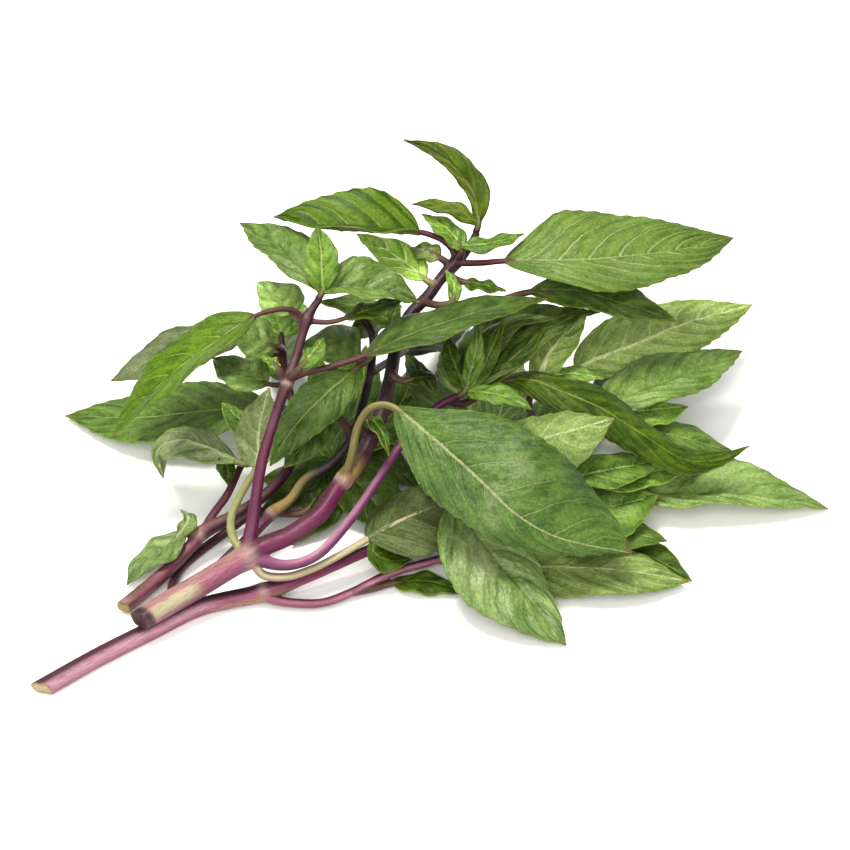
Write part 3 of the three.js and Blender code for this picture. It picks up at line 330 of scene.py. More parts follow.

# The mature shoots fill the dark inside of the bunch with leaves that stand partly for foliage and partly
# for the shade there, and their finishes and levels paint light and shade onto them.
SHOOTS = {
    "shoot_left": dict(
        axis=[(320, 296, 56.6, 1), (323, 291, 57.6, 0.9), (324, 287, 58.4, 0.6)], leaves=[
            leaf("young", [(323, 291, 57.6), (322, 275, 61), (321, 252, 65), (317, 226, 69)], (4.6, 4.8),
                 (1, 1), level=1.15, quilt=0.5),
            leaf("soft", [(322, 292, 57.4), (306, 272, 59), (278, 248, 58.5), (240, 223, 57)], (4.2, 8.5),
                 (2, 1), level=1.1, quilt=0.7),
            leaf("soft", [(323, 291, 57.6), (345, 288, 58), (385, 292, 56), (419, 303, 52)], (8.5, 2.6),
                 (5, 3), level=1.1, quilt=0.7)]),
    "shoot_top": dict(
        axis=[(477, 229, 56.8, 1), (479, 223, 58, 0.9), (480, 216, 59.6, 0.6)], leaves=[
            leaf("tinged",
                 [(479, 222, 58.2), (477, 200, 63), (461, 174, 69), (436, 153, 73), (404, 140, 75)],
                 (2.2, 4.4), (-1, 4), level=1.3, quilt=0.4),
            leaf("tinged", [(478, 224, 57.8), (464, 214, 60), (442, 206, 62), (412, 204, 63)], (2.4, 2.2),
                 level=1.3, quilt=0.4)]),
    "shoot_middle": dict(
        axis=[(460, 395, 32.6, 1), (466, 391, 33.4, 1), (468, 385, 35, 0.7)], leaves=[
            leaf("young", [(467, 390, 33.8), (472, 370, 38), (476, 348, 43), (478, 325, 47)], (2.6, 2.8),
                 quilt=0.5),
            leaf("young", [(467, 391, 33.6), (485, 393, 36), (508, 398, 37), (532, 410, 37)], (3, 2.6),
                 quilt=0.5),
            leaf("deep", [(466, 390, 33.8), (458, 372, 36), (450, 352, 39), (448, 335, 41)], (3.4, 3.4),
                 (-1, 0), level=1.25, quilt=0.4),
            leaf("deep", [(468, 389, 34), (480, 372, 38), (492, 348, 43), (503, 320, 46)], (2.2, 2.6),
                 (0, -1), level=1.25, quilt=0.4),
            leaf("deep", [(468, 390, 33.8), (495, 372, 36), (520, 352, 39), (546, 327, 41)], (2.8, 3.2),
                 (0, -1), level=1.25, quilt=0.4),
            leaf("plain", [(468, 390, 33.8), (484, 352, 38), (512, 323, 41), (556, 319, 41)], (3, 3.4),
                 quilt=0.5),
            leaf("plain", [(468, 390, 33.8), (500, 362, 37), (540, 333, 39), (590, 310, 39)], (4, 4),
                 quilt=0.5),
            leaf("plain", [(468, 390, 33.8), (484, 352, 36), (525, 322, 38), (600, 312, 39)], (7, 4),
                 level=0.85, quilt=0.5)]),
    "shoot_under": dict(
        axis=[(330, 465, 15.9, 0.9), (332, 462, 12.5, 0.9), (336, 456, 9, 0.7)], mature=True, leaves=[
            leaf("deep", [(334, 459, 10.5), (330, 430, 6), (322, 390, 3.5), (318, 355, 1.2)], (7, 7),
                 level=2.5, quilt=0.4),
            leaf("deep", [(335, 458, 10.5), (350, 425, 7), (362, 385, 4), (366, 345, 1.2)], (7, 7),
                 level=2.5, quilt=0.4),
            leaf("deep", [(336, 457, 10.5), (368, 435, 8), (400, 405, 4.5), (416, 365, 1.2)], (7, 7),
                 level=2.5, quilt=0.4),
            leaf("deep", [(333, 460, 10.5), (315, 468, 7.5), (290, 476, 4.5), (262, 480, 1.5)], (5, 5),
                 level=2.5, quilt=0.4),
            leaf("deep", [(336, 457, 10.5), (355, 480, 8), (378, 508, 5), (392, 540, 1.6)], (8, 8),
                 quilt=0.4),
            leaf("deep", [(335, 459, 10.5), (335, 490, 6.5), (322, 515, 3.5), (292, 545, 1.2)], (5, 4.4),
                 level=0.9, quilt=0.4),
            leaf("deep", [(333, 460, 10.5), (310, 478, 7), (285, 498, 4), (258, 520, 1.2)], (5, 5),
                 quilt=0.4),
            leaf("deep", [(336, 457, 10.5), (365, 455, 8), (395, 468, 5), (420, 490, 2)], (5, 5),
                 level=0.9, quilt=0.4)]),
    "shoot_far": dict(
        axis=[(480, 494.8, 7.5, 0.9), (481, 481, 7.5, 0.9), (484, 466, 7, 0.7)], mature=True, leaves=[
            leaf("plain", [(483, 472, 7.3), (470, 430, 5.5), (453, 380, 3.5), (446, 335, 1.2)], (6.5, 6.5),
                 level=2.6, quilt=0.4),
            leaf("plain", [(483, 472, 7.3), (495, 430, 6), (508, 385, 4), (515, 340, 1.2)], (6.5, 6.5),
                 level=2.6, quilt=0.4),
            leaf("plain", [(484, 470, 7.2), (520, 440, 7), (558, 405, 6), (580, 365, 4)], (6, 6),
                 level=2.6, quilt=0.4),
            leaf("plain", [(483, 472, 7.3), (455, 430, 8), (425, 385, 8), (405, 350, 7)], (6, 6),
                 level=0.9, quilt=0.4)]),
    "shoot_behind_left": dict(
        axis=[(282.8, 347.4, 27.5, 0.9), (282, 340, 28.6, 0.9), (281, 333, 29.6, 0.7)], mature=True,
        leaves=[
            leaf("plain", [(281, 334, 29.4), (268, 349, 24), (254, 365, 18), (240, 380, 12)], (6, 6),
                 level=2.2, quilt=0.4),
            leaf("soft", [(281.5, 336, 29), (292, 320, 31), (300, 300, 30)], (4.5, 4.5), level=2.6,
                 quilt=0.5),
            leaf("soft", [(282, 337, 29), (276, 315, 33), (270, 296, 36)], (5, 5), level=2.6, quilt=0.5)]),
    "shoot_upper": dict(
        axis=[(397, 325, 40.6, 0.8), (393, 324, 41, 0.8), (388, 322, 41.4, 0.7)], mature=True, leaves=[
            leaf("shade", [(391, 323, 41.2), (377, 322, 33), (360, 326, 29), (346, 336, 27)], (2.4, 6),
                 tip_seen=(7, 5), level=1.5),
            leaf("young", [(391, 323, 41.2), (394, 316, 45), (399, 301, 48)], (1.6, 2)),
            leaf("plain", [(391, 323, 41.2), (375, 312, 45), (350, 305, 46.5), (318, 302, 47)], (3, 3),
                 level=1.7, quilt=0.4)]),
}

STEMS = {
    "stem_front": [
        [(41, 689, 2, 2.3), (100, 656, 2, 2.3), (150, 631, 2, 2.3), (200, 607, 2.2, 2.2),
         (252, 595, 2.8, 2.2), (264, 592, 3.4, 2.5), (300, 580, 5, 1.5), (340, 563, 6, 1.4),
         (380, 545, 6.5, 1.4), (430, 522, 7, 1.4), (480, 500, 7.5, 1.4), (530, 474, 10, 1.3),
         (575, 448, 12.5, 1.3), (604, 425, 15, 1.2)],
        [(258, 594, 3.2, 1.4), (280, 601, 2.4, 1.2), (320, 603, 2, 1.1), (350, 593, 2.2, 1.1),
         (380, 578, 2.8, 1.1), (400, 570, 3, 1.1), (440, 559, 3.6, 1.1), (480, 546, 5.4, 1.1),
         (530, 527, 6.4, 1.1), (590, 508, 5.6, 1)],
    ],
    "stem_thick": [
        [(139, 621, 8, 2.7), (160, 608, 8.5, 2.9), (200, 585, 10, 2.9), (236, 563, 13, 2.9),
         (249, 556, 14, 3.3), (262, 547, 15, 2.5), (290, 535, 17, 2.3), (320, 513, 20, 2.2),
         (338, 487, 23, 2.1), (344, 480, 24, 2.5), (362, 456, 26.5, 2), (379, 419, 30.5, 2),
         (390, 380, 34.5, 1.8), (396, 348, 38, 1.7), (409, 316, 42, 1.6), (428, 296, 45.4, 1.6),
         (440, 280, 48, 1.5), (456, 262, 50, 1.9), (472, 242, 54, 1.1), (477, 232, 56, 1)],
        [(246, 557, 14, 2.1), (253, 520, 19, 1.7), (257, 490, 24, 1.5), (262, 461, 29, 1.5),
         (274, 420, 35.5, 1.4), (281, 399, 39.5, 1.4), (287, 384, 42, 1.8), (296, 357, 46, 1.2),
         (303, 332, 50, 1.3), (306, 321, 52, 1.7), (313, 308, 54, 1.1), (320, 298, 56, 1)],
        [(254, 558, 13.5, 1.8), (280, 565, 12, 1.4), (300, 563, 12, 1.3), (320, 553, 13, 1.3),
         (350, 520, 17, 1.2), (377, 481, 22, 1.1), (403, 442, 26, 1.1), (430, 412, 29, 1.1),
         (448, 400, 31, 1.1), (458, 396, 32, 1.1)],
    ],
    "stem_left": [
        [(123, 608, 2.4, 2), (160, 577, 4, 1.8), (190, 547, 6.4, 1.7), (201, 534, 8, 2.1),
         (235, 515, 10, 1.5), (265, 495, 12, 1.5), (290, 465, 14, 1.4), (300, 430, 16, 1.3),
         (292, 400, 19, 1.2), (285, 375, 23, 1.2), (283, 350, 27, 1.1)],
        [(199, 537, 7.5, 1.2), (214, 513, 9.5, 1.1), (227, 495, 10.5, 1.1), (239, 470, 12, 1),
         (252, 445, 13, 1)],
    ],
    "stem_thin": [
        [(172, 601, 1.6, 1.2), (172, 586, 1.6, 1.2), (181, 568, 1.6, 1.2), (200, 551, 1.8, 1.2),
         (225, 533, 2.6, 1.2), (245, 518, 4, 1.2), (262, 508, 5, 1.1)],
    ],
    "stem_back": [
        [(184, 595, 2.2, 1.6), (212, 573, 3, 1.6), (235, 552, 5, 1.6), (262, 524, 9, 1.5),
         (272, 513, 10.5, 1.8), (290, 500, 12, 1.3), (305, 480, 15, 1.3), (330, 465, 17, 1.3),
         (350, 440, 20, 1.2), (364, 400, 25, 1.2), (372, 360, 31, 1.2), (372, 335, 36, 1.1),
         (360, 314, 42, 1.1)],
    ],
}


def lerp(a, b, share):
    return a + (b - a) * share


def smooth_step(low, high, value):
    share = min(1, max(0, (value - low) / (high - low)))
    return share * share * (3 - 2 * share)


def place(across, down, height):
    """The point seen at a pixel of the photograph, at a height above the surface."""
    ray = SIGHT + RIGHT * ((across - MIDDLE_PIXEL) / FOCAL_PIXELS)
    ray += UP * ((MIDDLE_PIXEL - down) / FOCAL_PIXELS)
    return EYE + ray * ((height - EYE.z) / ray.z) + TO_CENTRE


def linear(red, green, blue):
    """A colour as it is seen under the lamps, from 0 to 255, as the skin's own colour."""
    parts = [value / 255 for value in (red, green, blue)]
    parts = [p / 12.92 if p <= 0.04045 else ((p + 0.055) / 1.055) ** 2.4 for p in parts]
    return [part * SEEN_TO_SKIN for part in parts]


class Line:
    """A smooth line through points, read by its share of the length."""

    STEPS = 24
    NUDGE = 0.006

    def __init__(self, points):
        places = [place(*point[:3]) for point in points]
        ends = [2 * places[0] - places[1], *places, 2 * places[-1] - places[-2]]
        self.knots = [0]
        self.spots = [places[0]]
        for index in range(len(places) - 1):
            for step in range(1, self.STEPS + 1):
                self.spots.append(self.between(ends[index:index + 4], step / self.STEPS))
            self.knots.append(len(self.spots) - 1)
        self.reached = [0]
        for one, two in zip(self.spots, self.spots[1:]):
            self.reached.append(self.reached[-1] + (two - one).length)
        self.length = self.reached[-1]

    @staticmethod
    def between(four, share):
        """The centripetal spline through four points, on its middle stretch."""
        p0, p1, p2, p3 = four
        d0, d1, d2 = [math.sqrt((b - a).length) for a, b in zip(four, four[1:])]
        leave = ((p1 - p0) / d0 - (p2 - p0) / (d0 + d1) + (p2 - p1) / d1) * d1
        arrive = ((p2 - p1) / d1 - (p3 - p1) / (d1 + d2) + (p3 - p2) / d2) * d1
        square = -3 * p1 + 3 * p2 - 2 * leave - arrive
        cube = 2 * p1 - 2 * p2 + leave + arrive
        return p1 + leave * share + square * share ** 2 + cube * share ** 3

    def find(self, share):
        """The step that a share of the length falls in, and what is left of it."""
        goal = min(max(share, 0), 1) * self.length
        low = min(bisect_right(self.reached, goal), len(self.reached) - 1) - 1
        return low, (goal - self.reached[low]) / (self.reached[low + 1] - self.reached[low])

    def at(self, share):
        low, rest = self.find(share)
        return self.spots[low].lerp(self.spots[low + 1], rest)

    def way(self, share):
        return (self.at(share + self.NUDGE) - self.at(share - self.NUDGE)).normalized()

    def share_of(self, knot):
        """The share of the length at one of the points."""
        return self.reached[self.knots[knot]] / self.length

    def knot_at(self, share):
        """How many points are passed at a share of the length."""
        low, rest = self.find(share)
        return (low + rest) / self.STEPS


# Leaf blades.

def fullness(along):
    return along ** BASE_POWER * (1 - along) ** TIP_POWER / FULLNESS


def reach(tangent, seen, lift, side):
    """From the rib to one edge at the widest part: side is 1 for left, -1 for right."""
    across = tangent.dot(RIGHT)
    upward = tangent.dot(UP)
    size = math.hypot(across, upward)
    right_part = -side * upward * seen / size
    up_part = side * across * seen / size
    sight_part = (lift - up_part * UP.z) / SIGHT.z
    return RIGHT * right_part + UP * up_part + SIGHT * sight_part


class Blade:
    """The form of one leaf blade. along runs from 0 at the stalk to 1 at the tip, and
    across from 1 at the left edge to -1 at the right edge."""

    def __init__(self, leaf, seed):
        self.leaf = leaf
        self.seed = seed
        self.line = Line([*leaf["stalk"], *leaf["rib"]])
        self.start = self.line.share_of(len(leaf["stalk"]))
        self.length = self.line.length * (1 - self.start)
        self.chord = (self.line.at(1) - self.line.at(self.start)).normalized()
        self.teeth = max(3, round(self.length / TOOTH_PITCH))
        self.pairs = min(8, max(4, round(self.length / VEIN_PITCH)))
        self.vein_gap = VEIN_SLOPE * self.length / self.pairs
        self.turned = -1 if leaf["under"] else 1
        self.half = max(*leaf["seen"], *leaf["tip_seen"])

    def station(self, along):
        """The rib's place, both half widths as vectors, and the normals of both halves."""
        leaf = self.leaf
        position = self.start + along * (1 - self.start)
        tangent = self.line.way(position)
        share = CHORD_SHARE * min(1, along / CHORD_FADE)
        level = tangent.lerp(self.chord, share).normalized()
        least = lerp(STALK_RADIUS, TIP_HALF_WIDTH, smooth_step(0, 0.5, along))
        narrow = 1 - leaf["wedge"] * (1 - smooth_step(0, 0.3, along))
        halves = []
        for index, side in enumerate((1, -1)):
            seen = lerp(leaf["seen"][index], leaf["tip_seen"][index], along)
            lift = lerp(leaf["lift"][index], leaf["tip_lift"][index], along)
            way = reach(tangent, seen, lift, side)
            way -= level * way.dot(level)
            width = math.hypot(way.length * fullness(along) * narrow, least)
            halves.append(way.normalized() * width)
        normals = (tangent.cross(halves[0]).normalized(), halves[1].cross(tangent).normalized())
        return self.line.at(position), halves, normals

    def vein_place(self, along, across):
        """Counts the side veins, which are at whole numbers, from the stalk to the tip."""
        away = abs(across)
        swept = along - self.leaf["sweep"] * (0.5 * away + 0.5 * away ** 2)
        return swept * self.pairs + FIRST_VEIN + (VEIN_STAGGER if across < 0 else 0)

    def near_vein(self, along, across):
        """How close a spot is to a side vein: 1 on it, falling to 0 beside it."""
        count = self.vein_place(along, across)
        if count < 0.5:
            return 0
        return math.exp(-(abs(count - round(count)) * self.vein_gap / VEIN_REACH) ** 2)

    def tooth(self, along, index):
        """How far the edge stands out of the plain outline."""
        part = (along * self.teeth + TOOTH_STAGGER * index) % 1
        rise = part / TOOTH_LEAN if part < TOOTH_LEAN else (1 - part) / (1 - TOOTH_LEAN)
        shown = smooth_step(0.1, 0.3, along) * (1 - smooth_step(0.93, 1, along))
        size = TOOTH_DEPTH * min(1, self.half / FULL_TEETH_HALF)
        return size * (rise ** 1.3 - TOOTH_LOWEST) * shown

    def relief(self, along, across):
        """The puckers between the side veins, and the grooves over them."""
        away = abs(across)
        count = self.vein_place(along, across)
        puff = math.sin(math.pi * count) ** 2 if count > 0 else 0
        inner = (4 * away * (1 - away)) ** 0.6
        fade = smooth_step(0, 0.12, along) * (1 - smooth_step(0.9, 1, along))
        where = Vector((count * 0.9, away * 1.3, self.seed * 7.3))
        pucker = noise.noise(where * 2.3) + 0.5 * noise.noise(where * 5.1)
        groove = GROOVE_DEPTH * self.near_vein(along, across) * (1 - away)
        return (self.leaf["quilt"] * (puff + PUCKER_SHARE * pucker) * inner - groove) * fade

    def spot(self, station, along, across):
        """The place of the upper face."""
        centre, (left, right), normals = station
        away = abs(across)
        index = 0 if across >= 0 else 1
        bent = math.hypot(away, FOLD_SOFTNESS) - FOLD_SOFTNESS
        bent /= math.hypot(1, FOLD_SOFTNESS) - FOLD_SOFTNESS
        point = centre + (left - right) / 2 * across + (left + right) / 2 * bent
        edge = (left, right)[index]
        middle = (normals[0] + normals[1]).normalized()
        normal = middle.lerp(normals[index], smooth_step(0, 0.3, away)).normalized()
        full = fullness(along)

        turn = 2 * math.pi * WAVE_COUNT * along
        turn += self.seed * WAVE_SHIFT_LEAF + index * WAVE_SHIFT_SIDE
        rise = WAVE_HEIGHT * math.sin(turn) * full * away ** 1.4
        turn = 2 * math.pi * RUFFLES_PER_TOOTH * self.teeth * along
        ruffle = math.sin(turn + self.seed + index * WAVE_SHIFT_SIDE)
        rise += RUFFLE_HEIGHT * ruffle * away ** 3 * full
        rise += self.leaf["arch"] * edge.length * 4 * away * (1 - away)
        rise += self.turned * (self.relief(along, across) + BLADE_THICKNESS / 2)
        outward = edge.normalized() * self.tooth(along, index) * smooth_step(0.7, 1, away)
        return point + normal * rise + outward

    def thickness(self, station, along, across):
        """More along the rib, and a little more along the side veins."""
        half = station[1][0 if across >= 0 else 1].length
        wide = 0.35 + 0.5 * (1 - along)
        keel = RIB_KEEL * (1 - along) ** 0.8 * math.exp(-(abs(across) * half / wide) ** 2)
        vein = VEIN_KEEL * self.near_vein(along, across) * (1 - abs(across))
        return BLADE_THICKNESS + (keel + vein) * min(1, self.half / FULL_RIB_HALF)


def leaf_blade(name, leaf, seed):
    """One blade as a sheet with its thickness: material 0 above and material 1 below."""
    form = Blade(leaf, seed)
    rows = min(130, max(14, round(form.length / LEAF_CELL)))
    columns = 2 * min(26, max(4, round(form.half / LEAF_CELL)))
    mesh = bmesh.new()
    bmesh.ops.create_grid(mesh, x_segments=rows, y_segments=columns, size=0.5)
    veins, spots, shade = new_layers(mesh, "veins", "spots", "shade")
    depth = mesh.verts.layers.deform.verify()
    flush = FLUSH.get(leaf["stalk_tone"], 0) if leaf["stalk"] else 0
    stations = [form.station(row / rows) for row in range(rows + 1)]
    for vertex in mesh.verts:
        row = round((vertex.co.x + 0.5) * rows)
        along = row / rows
        across = 2 * vertex.co.y
        across *= 1 - CROWDING + CROWDING * abs(across)
        station = stations[row]
        half = station[1][0 if across >= 0 else 1].length
        red = flush * (1 - smooth_step(0, 0.25, along))
        vertex[veins] = (form.vein_place(along, across), abs(across), form.vein_gap)
        vertex[spots] = (0, across * half, along)
        # The third part of shade is the leaf's level, its lightness together with painted light and shade.
        vertex[shade] = ((seed * PATTERN_SHIFT) % 1, red, leaf["level"])
        vertex[depth][0] = form.thickness(station, along, across) / THICKEST
        vertex.co = form.spot(station, along, across) * MM
    bmesh.ops.recalc_face_normals(mesh, faces=mesh.faces)
    middle = stations[rows // 2]
    upper = (middle[2][0] + middle[2][1]) * form.turned
    nearest = min(mesh.faces, key=lambda f: (f.calc_center_median() / MM - middle[0]).length)
    if nearest.normal.dot(upper) < 0:
        bmesh.ops.reverse_faces(mesh, faces=mesh.faces)
    piece = new_piece(name, mesh, leaf["finish"], leaf["back"])
    piece.vertex_groups.new(name="depth")
    wall = piece.modifiers.new("thickness", "SOLIDIFY")
    wall.thickness = THICKEST * MM
    wall.offset = -1
    wall.vertex_group = "depth"
    wall.material_offset = 1
    return piece


def new_layers(mesh, *names):
    return [mesh.verts.layers.float_vector.new(name) for name in names]


def new_piece(name, mesh, *finishes):
    """Turns a mesh into a smooth object with its finishes."""
    for face in mesh.faces:
        face.smooth = True
    data = bpy.data.meshes.new(name)
    mesh.to_mesh(data)
    mesh.free()
    for finish in finishes:
        data.materials.append(FINISHES[finish])
    piece = bpy.data.objects.new(name, data)
    bpy.context.scene.collection.objects.link(piece)
    return piece


# Stems.

def tube(mesh, line, end, radius_at, tone_at, squareness=0, sink_at=None):
    """A closed rod along a line up to its end share, made from a grid that is rolled up."""
    steps = max(4, round(line.length * end / TUBE_STEP))
    grid = bmesh.ops.create_grid(mesh, x_segments=steps, y_segments=TUBE_SIDES, size=0.5)
    tone = mesh.verts.layers.float_vector["tone"]
    grain = mesh.verts.layers.float_vector["grain"]
    frames = []
    normal = line.way(0).orthogonal().normalized()
    for step in range(steps + 1):
        share = end * step / steps
        tangent = line.way(share)
        normal = (normal - tangent * normal.dot(tangent)).normalized()
        centre = line.at(share)
        if sink_at:
            centre = centre + sink_at(share)
        frames.append((share, centre, normal, tangent.cross(normal)))
    for vertex in grid["verts"]:
        share, centre, out, beside = frames[round((vertex.co.x + 0.5) * steps)]
        turn = 2 * math.pi * (vertex.co.y + 0.5)
        radius = radius_at(share) * (1 + squareness * math.cos(STEM_CORNERS * turn))
        away = out * math.cos(turn) + beside * math.sin(turn)
        point = centre + away * radius
        vertex[tone] = tone_at(share, away)
        vertex[grain] = (math.cos(turn), math.sin(turn), share * line.length / GRAIN_LENGTH)
        point.z = max(point.z, LOWEST_STEM)
        vertex.co = point * MM
    bmesh.ops.remove_doubles(mesh, verts=grid["verts"], dist=0.01 * MM)
    rims = [edge for edge in mesh.edges if edge.is_boundary]
    return bmesh.ops.holes_fill(mesh, edges=rims, sides=0)["faces"]


def cut_end(mesh, caps, line, cut):
    """Cuts a stem off at a slant, and colours the middle of the cut face."""
    lower_slope, near_slope, middle_tone = cut
    spot, way = line.at(0), line.way(0)
    for vertex in mesh.verts:
        away = vertex.co / MM - spot
        along = away.dot(way)
        if along < CUT_REACH:
            beside = away - way * along
            back = -lower_slope * beside.dot(UP) - near_slope * beside.dot(SIGHT)
            vertex.co += way * (back * (1 - max(0, along) / CUT_REACH)) * MM
    cap = min(caps, key=lambda face: (face.calc_center_median() / MM - spot).length)
    tone = mesh.verts.layers.float_vector["tone"]
    for vertex in cap.verts:
        vertex[tone] = TONES["brown"]
    bmesh.ops.inset_individual(mesh, faces=[cap], thickness=CUT_RIM * MM)
    middle = bmesh.ops.poke(mesh, faces=[cap])["verts"]
    for vertex in {v for one in middle for edge in one.link_edges for v in edge.verts}:
        vertex[tone] = TONES[middle_tone]


def tones_along(rows):
    """Reads a colour by the points passed and by how far up a side faces, so that the sides carry painted
    light and shade as well as their own colours.
    """
    def tone(passed, facing):
        low = max(i for i, row in enumerate(rows) if row[0] <= passed or i == 0)
        high = min(low + 1, len(rows) - 1)
        gap = max(1e-6, rows[high][0] - rows[low][0])
        share = min(1, max(0, (passed - rows[low][0]) / gap))
        pairs = zip(rows[low][1].split(), rows[high][1].split())
        upper, front, lower = [TONES[a].lerp(TONES[b], share) for a, b in pairs]
        side = upper if facing > 0 else lower
        return front.lerp(side, smooth_step(0.1, 0.8, abs(facing)))
    return tone


def widths_along(points, line):
    """Reads a radius by the share of the line's length."""
    def width(share):
        passed = line.knot_at(share)
        low = min(int(passed), len(points) - 2)
        return lerp(points[low][3], points[low + 1][3], passed - low)
    return width


def branch(mesh, points, tones):
    """One stretch of stem, paler at the joints. Gives its line and the caps of its ends."""
    line = Line(points)
    tone = tones_along(tones)

    def stem_tone(share, away):
        point = line.at(share)
        pale = max(math.exp(-((point - joint).length / size) ** 2) for joint, size in JOINTS)
        colour = tone(line.knot_at(share), away.dot(UP))
        return colour.lerp(TONES["joint"], JOINT_SHARE * pale)

    return line, tube(mesh, line, 1, widths_along(points, line), stem_tone, STEM_SQUARENESS)


def leaf_stalk(mesh, leaf, seed):
    """A leaf's stalk, going on below its blade as the rib."""
    form = Blade(leaf, seed)
    line, start = form.line, form.start
    end = min(0.97, start + leaf["run"] / line.length)
    normals = form.station(0.05)[2]
    down = -(normals[0] + normals[1]).normalized() * form.turned
    tone = tones_along(list(enumerate(STALK_TONES[leaf["stalk_tone"]])))

    def stalk_radius(share):
        radius = leaf["slim"] * STALK_RADIUS * (1 + STALK_TAPER * max(0, 1 - share / start))
        return lerp(radius, STALK_END_RADIUS, max(0, share - start) / (end - start))

    def sink(share):
        return down * smooth_step(start, end, share) * STALK_SINK

    def stalk_tone(share, away):
        return tone(min(1, share / end), away.dot(UP))

    tube(mesh, line, end, stalk_radius, stalk_tone, sink_at=sink)


def stem_piece(name, node):
    """One stem with its branches and the stalks of its leaves, melted into one skin."""
    mesh = bmesh.new()
    tone, grain = new_layers(mesh, "tone", "grain")
    for index, (points, tones) in enumerate(zip(STEMS[node], STEM_TONES[node])):
        line, caps = branch(mesh, points, tones)
        if index == 0 and node in CUTS:
            cut_end(mesh, caps, line, CUTS[node])
    for seed, leaf in enumerate(LEAVES.values()):
        if leaf["stem"] == node:
            leaf_stalk(mesh, leaf, seed)
    source = [(v.co.copy(), v[tone].copy(), v[grain].copy()) for v in mesh.verts]
    bmesh.ops.recalc_face_normals(mesh, faces=mesh.faces)
    piece = new_piece(name, mesh, "stem")
    melt = piece.modifiers.new("melt", "REMESH")
    melt.mode = "VOXEL"
    melt.voxel_size = STEM_CELL * MM
    shown = piece.evaluated_get(bpy.context.evaluated_depsgraph_get())
    skin = bpy.data.meshes.new_from_object(shown)
    bpy.data.meshes.remove(piece.data)
    return finish_skin(name, skin, source)


def finish_skin(name, skin, source):
    """Smooths the melted skin and brings the colours and the grain back to it."""
    tree = kdtree.KDTree(len(source))
    for index, (spot, _, _) in enumerate(source):
        tree.insert(spot, index)
    tree.balance()
    mesh = bmesh.new()
    mesh.from_mesh(skin)
    for _ in range(SMOOTHINGS):
        bmesh.ops.smooth_vert(mesh, verts=mesh.verts, factor=0.5,
                              use_axis_x=True, use_axis_y=True, use_axis_z=True)
    bmesh.ops.recalc_face_normals(mesh, faces=mesh.faces)
    tone, grain = new_layers(mesh, "tone", "grain")
    for vertex in mesh.verts:
        colour, along, weight = Vector(), Vector(), 0
        for _, index, distance in tree.find_n(vertex.co, NEIGHBOURS):
            near = 1 / (distance + 1e-6)
            colour += source[index][1] * near
            along += source[index][2] * near
            weight += near
        vertex[tone] = colour / weight
        vertex[grain] = along / weight
        vertex.co.z = max(vertex.co.z, LOWEST_STEM * MM)
    return new_piece(name, mesh, "stem")


def shoot_axis(name, shoot):
    """The short stem that a shoot's leaves grow from, starting inside the stem below it."""
    mesh = bmesh.new()
    new_layers(mesh, "tone", "grain")
    line = Line(shoot["axis"])
    end_tone = TONES["plum" if "mature" in shoot else "leafy"]
    tube(mesh, line, 1, widths_along(shoot["axis"], line),
         lambda share, away: TONES["plum"].lerp(end_tone, share),
         sink_at=lambda share: line.way(0) * (share - 1))
    bmesh.ops.recalc_face_normals(mesh, faces=mesh.faces)
    return new_piece(name, mesh, "stem")


# Finishes.

class Number:
    """A number in a graph. A sum or product with it adds the node that works it out."""

    def __init__(self, graph, socket):
        self.graph = graph
        self.socket = socket

    def __add__(self, other):
        return self.graph.maths("ADD", self, other)

    def __sub__(self, other):
        return self.graph.maths("SUBTRACT", self, other)

    def __mul__(self, other):
        return self.graph.maths("MULTIPLY", self, other)

    def __truediv__(self, other):
        return self.graph.maths("DIVIDE", self, other)

    def __abs__(self):
        return self.graph.maths("ABSOLUTE", self)


